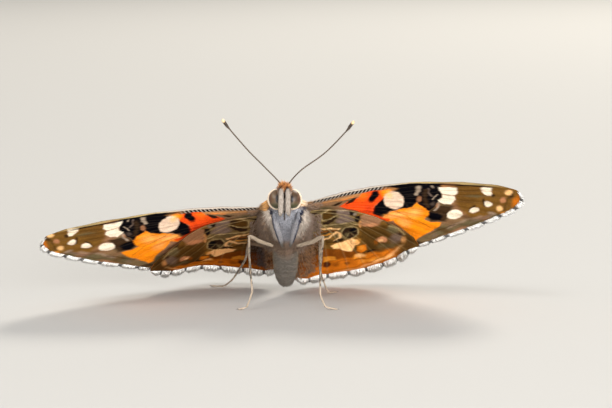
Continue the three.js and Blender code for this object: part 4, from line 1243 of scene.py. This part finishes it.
def make_abdomen_fur():
    """Short close scales on the abdomen, darker along its ring lines and pale at its tip."""
    roots, outward, rearward, along, uv, draw = coat(
        TUFTS["abdomen"], ABDOMEN_START - 0.02, 0.995, SEEDS["abdomen"])
    count = len(roots)
    lie = jitter(rearward, draw, 0.14)
    length = 0.42 * draw.uniform(0.6, 1.3, count)
    paint = body_colour(roots, outward) * draw.uniform(0.85, 1.15, (count, 1))
    paint = paint * (1 - 0.12 * ring_line(along) ** 4)[:, None]
    paint = blend(paint, "stone", smoothstep(along, 0.955, 0.985) * 0.7)
    width = 0.1 * draw.uniform(0.8, 1.2, count)
    part = tufts(roots, lie, outward, length, width, paint, uv, rise=0.32)
    make_piece("abdomen_scales", part, MATERIALS["fur"])


def make_head_fur():
    """Short pale scales on the face and cheeks, and an upright, clumped crown."""
    def keep(places, outward):
        return (np.abs(places[:, 0]) < 0.72) | (outward[:, 2] > 0.35)

    roots, outward, rearward, along, uv, draw = coat(TUFTS["head"], 0.02, HEAD_END + 0.03, SEEDS["head"],
                                                     keep)
    count = len(roots)
    top = smoothstep(outward[:, 2], 0.2, 0.7)
    upright = np.array([0, -0.75, 1.0])
    lie = unit(mix(rearward * 0.6 + outward * 0.3, upright + outward * 0.4, top[:, None]))
    lie = jitter(lie, draw, 0.2)
    clump = ripple(roots[:, 0] + 7, roots[:, 1] + 7, 0.2, 124)
    length = (0.32 + 0.6 * top) * draw.uniform(0.5, 1.2, count) * (1 + 0.35 * top * clump)
    crown = blend("crown", "crown pale", smoothstep(clump, 0.1, 0.8) * 0.7)
    # Painted shade: the short hair between the clumps is darkened.
    crown = blend(crown, "palp dark", smoothstep(-clump, -0.05, 0.25) * 0.9)
    paint = blend(COLOURS["palp"] * 0.8, crown, top) * draw.uniform(0.8, 1.2, (count, 1))
    width = 0.075 * draw.uniform(0.7, 1.3, count)
    part = tufts(roots, lie, outward, length, width, paint, uv, rise=0.3)
    make_piece("head_fur", part, MATERIALS["fur"])


# The head's own frame, tilted as the solids are, with the eyes' middle at its origin
EYE_CENTRE = (0.9, 0.05, 0.0)
EYE_HALF = (0.97, 0.95, 1.13)


def from_face(points):
    """The head's own frame to the design frame."""
    points = np.asarray(points, float)
    tilt = math.radians(-HEAD_PITCH)
    x, y, z = points[..., 0], points[..., 1], points[..., 2]
    return np.stack([x, y * math.cos(tilt) - z * math.sin(tilt) + HEAD_Y,
                     y * math.sin(tilt) + z * math.cos(tilt) + HEAD_Z], axis=-1)


def make_eye(label, side):
    """A compound eye, mottled, with a darker spot that looks forward and an olive lower part."""
    rows, columns = 72, 96
    down = np.linspace(0.02, np.pi - 0.02, rows)[:, None]
    around = np.arange(columns)[None, :] / columns * 2 * np.pi
    normal = np.stack(np.broadcast_arrays(np.cos(down), np.sin(down) * np.cos(around),
                                          np.sin(down) * np.sin(around)), axis=-1).reshape(-1, 3)
    centre = np.multiply(EYE_CENTRE, [side, 1, 1])
    points = from_face(normal * [side, 1, 1] * EYE_HALF + centre)
    x, y, z = (points - from_face(centre)).T
    out = x * side
    mottle = ripple(x * 2 + 9, z * 2, 0.9, 141)
    colour = blend("eye", "eye dark", smoothstep(mottle, -0.2, 0.8))
    colour = blend(colour, "eye pale", smoothstep(-mottle, 0.1, 0.9) * 0.7)
    colour = blend(colour, "eye warm", smoothstep(out, 0.5, 0.9) * 0.35)
    colour = blend(colour, "eye olive", smoothstep(-z, 0.1, 0.8) * 0.75)
    spot = inside_oval(out, z, (-0.05, 0.12), (0.2, 0.42), 0)
    colour = blend(colour, "eye spot", smoothstep(spot, -0.06, 0.05) * (y < 0))
    part = dict(points=points, blocks=round_faces(rows, columns), paint=colour,
                uv=round_uv(down / np.pi, around))
    make_piece(f"compound_eye_{label}", part, MATERIALS["eye"], [f"eye_{label}"])


# In the head's own frame: the way the eyes' rims face, and the way their scales lean
RIM_FACING = np.array([0, -0.958, -0.284])
RIM_LEAN = np.array([0, -1.0, 0.13])


def make_eye_rims():
    """A ring of short cream scales round each eye, just behind the widest part of its dome."""
    draw = np.random.default_rng(SEEDS["eye_rims"])
    count = TUFTS["eye_rim"]
    parts = []
    rest = np.cross(RIM_FACING, [1, 0, 0])
    for side in (-1, 1):
        angle = draw.uniform(-np.pi, np.pi, count)
        behind = draw.uniform(0.03, 0.42, count)
        ring = np.cos(angle)[:, None] * [side, 0, 0] - np.sin(angle)[:, None] * rest
        outward = unit(np.cos(behind)[:, None] * ring - np.sin(behind)[:, None] * RIM_FACING)
        roots = from_face(outward * EYE_HALF + np.multiply(EYE_CENTRE, [side, 1, 1]))
        normals = from_face(outward) - from_face(np.zeros(3))
        lie = jitter(RIM_LEAN * 0.25 + normals * 0.8, draw, 0.12)
        paint = blend("white", "cream", draw.uniform(0, 0.6, count))
        uv = np.stack([(angle / np.pi * 0.5 + 0.5) * 0.46 + (0.02 if side < 0 else 0.51), behind], axis=-1)
        length = (0.2 + 0.07 * np.cos(angle - 0.5)) * draw.uniform(0.75, 1.15, count)
        parts.append(tufts(roots, lie, normals, length, 0.07, paint, uv, rise=0.1, flat=0.3,
                           root_shade=0.9))
    make_piece("eye_rims", join(parts), MATERIALS["fur"])


# Tubes along a path, with a radius and a colour at each step, and the scales on them

def tube(path, radius, sides, paint, uv_start=0.1):
    """A closed tube; `radius` is (steps,) or (steps, 2) for an oval section."""
    steps = len(path)
    run = unit(np.gradient(path, axis=0))
    across = unit(np.cross(run, np.array([0.35, -0.4, 0.85])))
    upward = unit(np.cross(across, run))
    radius = np.asarray(radius, float)
    if radius.ndim == 1:
        radius = np.stack([radius, radius], axis=-1)
    turn = np.arange(sides) / sides * 2 * np.pi
    points = (path[:, None] + across[:, None] * (np.cos(turn)[None, :, None] * radius[:, None, :1])
              + upward[:, None] * (np.sin(turn)[None, :, None] * radius[:, None, 1:]))
    colours = np.repeat(np.broadcast_to(paint, (steps, 3)), sides, axis=0)
    uv = np.stack(np.broadcast_arrays(np.linspace(0.02, 0.98, steps)[:, None],
                                      uv_start + turn[None] / (2 * np.pi) * 0.08), axis=-1)
    return dict(points=points.reshape(-1, 3), blocks=round_faces(steps, sides), paint=colours,
                uv=uv.reshape(-1, 2), path=path, run=run, across=across, upward=upward)


def tube_uv(share, turn):
    """The unwrap of the scales on a tube, beside the tube's own."""
    return np.stack([share * 0.95 + 0.02, 0.3 + turn / (2 * np.pi) * 0.65], axis=-1)


def on_tube(core, radius, count, spread, draw, bare_start=0, bare_end=0):
    """Random places on a tube for scales: each one's step, turn, root, the ways out of the tube and
    along it, and UV. Some steps at its start and end can stay bare."""
    steps = len(core["path"])
    step = draw.integers(bare_start, steps - bare_end, count)
    turn = draw.uniform(0, 2 * np.pi, count)
    c, s = np.cos(turn)[:, None], np.sin(turn)[:, None]
    outward = unit(core["across"][step] * c + core["upward"][step] * s)
    roots = core["path"][step] + outward * radius[step, None]
    lie = jitter(core["run"][step], draw, spread)
    return step, turn, roots, outward, lie, tube_uv(step / steps, turn)


def smooth_path(stations, steps, crisp=0.0):
    """Evenly spaced points through the stations; `crisp` keeps some of the corners."""
    stations = np.asarray(stations, float)
    fine = np.linspace(0, len(stations) - 1, 800)
    curve = curve_through(stations, fine)
    k = np.clip(np.floor(fine).astype(int), 0, len(stations) - 2)
    straight = mix(stations[k], stations[k + 1], (fine - k)[:, None])
    curve = mix(curve, straight, crisp)
    reach = running_length(curve)
    even = np.linspace(0, reach[-1], steps)
    return np.stack([np.interp(even, reach, curve[:, i]) for i in range(3)], axis=-1), even


# Stations of a palp in the head's own frame: place, and the radius across it and through it
PALP_STATIONS = np.array([
    (0.52, -0.95, -2.3, 0.24, 0.18), (0.46, -1.5, -1.95, 0.36, 0.28), (0.44, -1.88, -1.2, 0.37, 0.32),
    (0.43, -2.0, -0.5, 0.36, 0.28), (0.42, -2.03, -0.05, 0.31, 0.22), (0.41, -2.05, 0.25, 0.18, 0.12),
])


def make_palp(label, side):
    """A palp: a tapering finger under dense upright scales, pale in front and dark within."""
    draw = np.random.default_rng(SEEDS["palp"])
    steps = 40
    count = TUFTS["palp"]
    rows = curve_through(PALP_STATIONS, np.linspace(0, len(PALP_STATIONS) - 1, steps))
    radius = rows[:, 3:] * 0.85
    core = tube(from_face(rows[:, :3] * [side, 1, 1]), radius, 16, COLOURS["palp"] * 0.5)
    step, turn, roots, outward, lie, uv = on_tube(core, radius[:, 0], count, 0.07, draw)
    inner = smoothstep(-outward[:, 0] * side, 0.3, 0.8) * smoothstep(outward[:, 1], -0.6, 0.2)
    paint = blend("palp", "palp dark", inner * 0.9)
    outer = smoothstep(outward[:, 0] * side, 0.55, 0.9)
    paint = blend(paint, "hair brown", outer * 0.7) * draw.uniform(0.8, 1.15, (count, 1))
    length = 0.36 * draw.uniform(0.7, 1.3, count)
    scales = tufts(roots, lie, outward, length, 0.06, paint, uv, rise=0.18)
    make_piece(f"palp_coat_{label}", join([core, scales]), MATERIALS["fur"], [f"palp_{label}"])


def make_proboscis():
    """A ribbed tongue coiled three times, below the face."""
    turns = 3
    steps = 150
    angle = np.linspace(0, turns * 2 * np.pi, steps) + 0.6
    size = np.linspace(0.56, 0.12, steps)
    path = from_face(np.stack([0 * angle, -0.62 + size * np.cos(angle), -2.25 + size * np.sin(angle)], -1))
    ribs = 1 + 0.06 * np.sin(np.arange(steps) * 1.9)
    core = tube(path, 0.085 * ribs, 12, COLOURS["palp dark"])
    make_piece("tongue", core, MATERIALS["horn"], ["proboscis"])


FORELEG = np.array([(1.42, -1.7, 12.0), (1.36, -2.15, 11.2), (1.1, -2.0, 10.2), (0.82, -1.65, 9.2),
                    (0.55, -1.15, 8.2)])


def make_foreleg(label, side):
    """A small foreleg folded on the chest, under a brush of pale hair darkened by painted shade on its
    outer side.
    """
    draw = np.random.default_rng(SEEDS["foreleg"])
    steps = 60
    count = TUFTS["foreleg"]
    path, even = smooth_path(FORELEG * [side, 1, 1] + [CHEST_MIDDLE * 0.9, 0, 0], steps)
    share = even / even[-1]
    radius = 0.08 + 0.27 * np.sin(np.pi * np.clip(share * 0.9 + 0.1, 0, 1)) ** 0.7
    core = tube(path, radius, 16, COLOURS["blue grey"] * 0.5)
    step, turn, roots, outward, lie, uv = on_tube(core, radius, count, 0.08, draw)
    share = share[step]
    # Painted shade: the outer side, against the chest, and the upper end are darkened to navy.
    edge = smoothstep(outward[:, 0] * side, 0.25, 0.55) * (1 - smoothstep(share, 0.8, 0.92))
    paint = blend("blue grey", "stone", draw.uniform(0, 0.4, count))
    paint = blend(paint, "abdomen grey", smoothstep(share, 0.75, 0.95))
    top = (1 - smoothstep(share, 0.1, 0.24)) * 0.9
    dark = np.maximum(edge * 0.95, top)
    paint = blend(paint, "navy", dark) * draw.uniform(0.85, 1.12, (count, 1))
    length = 0.42 * draw.uniform(0.7, 1.3, count)
    brush = tufts(roots, lie, outward, length, 0.06, paint, uv, rise=0.14)
    make_piece(f"foreleg_coat_{label}", join([core, brush]), MATERIALS["fur"],
               [f"foreleg_{label}"])


# Stations of the walking legs. The third is the knee and the sixth is near the ankle.
LEGS = {
    "midleg_right": [(-1.5, 0.5, 7.75), (-3.0, -0.9, 8.5), (-4.2, -2.3, 9.3), (-4.25, -1.5, 7.2),
                     (-4.15, -0.6, 4.8), (-3.95, -0.3, 2.3), (-4.6, -0.2, 0.45), (-5.6, -0.15, 0.1)],
    "midleg_left": [(1.5, 0.5, 7.75), (3.2, -0.9, 8.4), (4.5, -2.3, 9.2), (4.4, -1.5, 7.2),
                    (4.25, -0.6, 5.0), (4.25, -0.3, 2.0), (4.9, -0.2, 0.45), (6.3, -0.15, 0.1)],
    "hindleg_right": [(-1.4, 3.4, 7.0), (-3.2, 4.3, 7.3), (-4.5, 5.0, 7.3), (-4.9, 7.0, 5.2),
                      (-5.7, 9.6, 3.5), (-6.7, 12.3, 1.7), (-7.9, 14.8, 0.45), (-9.6, 17.0, 0.1)],
    "hindleg_left": [(1.4, 3.4, 7.0), (3.0, 4.3, 7.5), (4.15, 5.0, 7.85), (4.2, 6.3, 5.7),
                     (4.3, 7.7, 3.5), (4.95, 9.1, 1.35), (5.35, 10.1, 0.45), (6.4, 12.4, 0.1)],
}
TARSUS_SEGMENTS = 5
SPINES = 26
# A claw's stations: along the toe, out to its side, and up
CLAW = np.array([(0, 0, 0.02), (0.1, 0.05, 0.06), (0.2, 0.1, 0.02), (0.24, 0.12, -0.05)])


def leg_radius(share, knee, ankle):
    """A leg's radius along its run: femur, tibia and segmented tarsus, pinched at knee and ankle."""
    femur = 0.15 + 0.06 * np.sin(np.pi * np.clip(share / knee, 0, 1))
    tibia = 0.135 - 0.02 * np.clip((share - knee) / (ankle - knee), 0, 1)
    toe = np.clip((share - ankle) / (1 - ankle), 0, 1)
    tarsus = (0.1 - 0.03 * toe) * (1 + 0.14 * np.cos(toe * TARSUS_SEGMENTS * 2 * np.pi + np.pi))
    radius = np.where(share < knee, femur, np.where(share < ankle, tibia, tarsus))
    pinch = 1 - 0.25 * np.exp(-((share - knee) / 0.012) ** 2) - 0.2 * np.exp(-((share - ankle) / 0.01) ** 2)
    return np.convolve(np.pad(radius * pinch, 2, mode="edge"), np.ones(5) / 5, mode="valid")


def make_claw(end, run, turned):
    """One of the two claws that spread from the end of a foot, as a short hooked tube."""
    toe_run = unit(run * [1, 1, 0])
    sideways = np.cross([0, 0, 1.0], toe_run)
    hook = CLAW * [1, turned, 1]
    claw = end + hook[:, :1] * toe_run + hook[:, 1:2] * sideways + hook[:, 2:] * [0, 0, 1]
    claw[:, 2] = np.maximum(claw[:, 2], 0.03)
    return tube(smooth_path(claw, 10)[0], np.linspace(0.03, 0.008, 10), 8, COLOURS["leg dark"], 0.2)


def make_leg(name):
    """Femur, tibia with paired spines, a five-part tarsus and its two claws."""
    draw = np.random.default_rng(SEEDS[name])
    steps = 220
    stations = np.array(LEGS[name])
    path, even = smooth_path(stations, steps, crisp=0.55)
    share = even / even[-1]
    knee, bend = [share[np.argmin(np.linalg.norm(path - stations[i], axis=1))] for i in (2, 5)]
    ankle = knee + (bend - knee) * 0.78
    radius = leg_radius(share, knee, ankle)
    path[:, 2] = np.maximum(path[:, 2], radius)
    shade = blend("leg", "leg pale", smoothstep(share, ankle - 0.02, ankle + 0.05))
    # Painted shade: the hind legs' femora, under the wings, are darkened to brown.
    if name.startswith("hind"):
        shade = blend(shade, "hair brown", 1 - smoothstep(share, knee - 0.02, knee + 0.12))
    core = tube(path, radius, 14, shade * 0.8)
    count = TUFTS["leg"]
    step, turn, roots, outward, lie, uv = on_tube(core, radius, count, 0.08, draw, 2, 6)
    speck = ripple(step * 0.05, turn * 0.35, 0.3, 177) > 0.12
    speck &= (share[step] > knee + 0.06) & (share[step] < ankle + 0.04)
    paint = blend(shade[step], "leg dark", speck) * draw.uniform(0.8, 1.2, (count, 1))
    length = np.where(share[step] < knee, 0.3, 0.2) * draw.uniform(0.6, 1.2, count)
    scales = tufts(roots, lie, outward, length, 0.055, paint, uv, rise=0.12, sink=0.02)
    step = np.interp(np.linspace(knee + 0.05, 0.97, SPINES), share, np.arange(steps)).astype(int)
    turn = np.where(np.arange(SPINES) % 2 == 0, 0.7, np.pi - 0.7)
    out = unit(core["across"][step] * np.cos(turn)[:, None] - core["upward"][step] * 0.5)
    roots = path[step] + out * radius[step, None] * 0.8
    spines = tufts(roots, core["run"][step] + out * 0.6, out, 0.3, 0.05, COLOURS["leg dark"],
                   tube_uv(step / steps, turn), rise=0.2, flat=0.8)
    claws = [make_claw(path[-1], core["run"][-1], turned) for turned in (-1, 1)]
    make_piece(f"{name}_coat", join([core, scales, spines, *claws]), MATERIALS["leg"], [name])


ANTENNAE = {
    "right": [(-0.5, -2.9, 15.2), (-0.62, -2.95, 15.85), (-2.4, -4.3, 17.9), (-4.25, -6.0, 20.0),
              (-6.35, -8.6, 22.8), (-6.75, -9.1, 23.4), (-7.1, -9.5, 23.95)],
    "left": [(0.5, -2.9, 15.2), (0.62, -2.95, 15.85), (2.0, -4.3, 17.5), (4.75, -6.0, 19.7),
             (7.1, -8.6, 22.4), (7.6, -9.1, 23.1), (8.05, -9.5, 23.75)],
}
ANTENNA_SEGMENTS = 46
CLUB_LENGTH = 1.9
CLUB_ROUNDING = 0.32


def make_antenna(label):
    """A fine ringed shaft, dark with pale bands, and a flattened club with a cream tip."""
    steps = ANTENNA_SEGMENTS * 7 + 1
    path, even = smooth_path(ANTENNAE[label], steps)
    to_tip = even[-1] - even
    club = smoothstep(CLUB_LENGTH - to_tip, 0, CLUB_LENGTH * 0.62)
    inset = np.clip((CLUB_ROUNDING - to_tip) / CLUB_ROUNDING, 0, 1)
    rounded = np.sqrt(np.clip(1 - inset ** 2, 0.004, 1))
    ring = np.linspace(0, ANTENNA_SEGMENTS, steps) % 1
    joint = 1 - 0.13 * np.exp(-(np.minimum(ring, 1 - ring) / 0.12) ** 2)
    base = 1 + 0.9 * np.exp(-(even / 0.22) ** 2)
    radius = (0.085 + 0.17 * club) * rounded * joint * base
    band = smoothstep(np.cos(2 * np.pi * ring), 0.35, 0.8) * (1 - 0.8 * club)
    paint = blend("antenna dark", "antenna pale", 0.75 * band)
    paint = blend(paint, "club tip", smoothstep(0.42 - to_tip, 0, 0.2))
    part = tube(path, np.stack([radius, radius * (1 - 0.25 * club)], axis=-1), 12, paint)
    make_piece(f"antenna_shaft_{label}", part, MATERIALS["horn"], [f"antenna_{label}"])


# All the pieces. The wings come first, because the fringes and hair follow their edges.
for wing_label in POSES:
    for wing_kind in WINGS:
        make_wing(wing_kind, wing_label)
for wing_label in POSES:
    for wing_kind in WINGS:
        make_fringe(wing_kind, wing_label)
    make_wing_hair(wing_label)
make_skin()
make_thorax_fur()
make_shoulder_tufts()
make_abdomen_fur()
make_head_fur()
make_eye_rims()
make_proboscis()
for side_label, side_sign in (("right", -1), ("left", 1)):
    make_eye(side_label, side_sign)
    make_palp(side_label, side_sign)
    make_foreleg(side_label, side_sign)
    make_antenna(side_label)
for leg_name in LEGS:
    make_leg(leg_name)


# Floor, light and camera

PHOTO_WIDTH = 612
PHOTO_HEIGHT = 408
PIXELS_PER_MM = 8.3
CAMERA_DISTANCE = 280
CAMERA_ELEVATION = 7.5
# The pixel in which the origin of the design frame's floor is seen
FLOOR_PIXEL = (285, 310)
# Each lamp's name, place and aim in design millimetres, size in metres, power and colour
LAMPS = [
    ("key", (-500, -750, 800), (0, 0, 10), 0.5, 9, (1, 1, 1)),
    ("fill", (800, -700, 350), (0, 0, 10), 0.8, 6, (1, 1, 1)),
    ("low", (200, -900, 60), (0, 0, 8), 0.7, 22, (1, 1, 1)),
    ("rim", (350, 800, 650), (0, 0, 12), 0.4, 9, (1, 0.95, 0.86)),
]


def floor():
    """A plain pale floor that fills the view."""
    half = 4.0
    mesh = bpy.data.meshes.new("floor")
    mesh.from_pydata([(-half, -half, 0), (half, -half, 0), (half, half, 0), (-half, half, 0)], [],
                     [(0, 1, 2, 3)])
    plane = bpy.data.objects.new("floor", mesh)
    bpy.context.scene.collection.objects.link(plane)
    material = bpy.data.materials.new("floor")
    material.use_nodes = True
    surface = material.node_tree.nodes["Principled BSDF"]
    socket(surface, "Base Color", (0.46, 0.45, 0.43, 1))
    socket(surface, "Roughness", 0.85)
    mesh.materials.append(material)


def lamp(name, place, aim, size, power, colour):
    """A round soft lamp that shines from one place at another."""
    light = bpy.data.lights.new(name, "AREA")
    light.shape = "DISK"
    light.size = size
    light.energy = power
    light.color = colour
    thing = bpy.data.objects.new(name, light)
    bpy.context.scene.collection.objects.link(thing)
    start = packed(place)
    thing.location = start
    direction = packed(aim) - start
    thing.rotation_mode = "QUATERNION"
    thing.rotation_quaternion = Vector(direction).to_track_quat("-Z", "Y")


def camera():
    """The photograph's view: from in front and a little above, over a long lens."""
    data = bpy.data.cameras.new("camera")
    data.sensor_width = 36
    data.lens = data.sensor_width * PIXELS_PER_MM * CAMERA_DISTANCE / PHOTO_WIDTH
    data.clip_start = 0.01
    data.clip_end = 20
    thing = bpy.data.objects.new("camera", data)
    bpy.context.scene.collection.objects.link(thing)
    tilt = math.radians(CAMERA_ELEVATION)
    forward = np.array([0, math.cos(tilt), -math.sin(tilt)])
    upward = np.array([0, math.sin(tilt), math.cos(tilt)])
    aim = np.array([(PHOTO_WIDTH / 2 - FLOOR_PIXEL[0]) / PIXELS_PER_MM, 0, 0])
    aim = aim + upward * (FLOOR_PIXEL[1] - PHOTO_HEIGHT / 2) / PIXELS_PER_MM
    thing.location = packed(aim - forward * CAMERA_DISTANCE)
    thing.rotation_euler = (math.pi / 2 - tilt, 0, 0)
    bpy.context.scene.camera = thing


floor()
camera()
for settings in LAMPS:
    lamp(*settings)
world = bpy.data.worlds.new("studio")
world.use_nodes = True
background = world.node_tree.nodes["Background"]
socket(background, "Color", (1, 0.98, 0.95, 1))
socket(background, "Strength", 0.4)
bpy.context.scene.world = world
bpy.context.scene.view_settings.view_transform = "Standard"
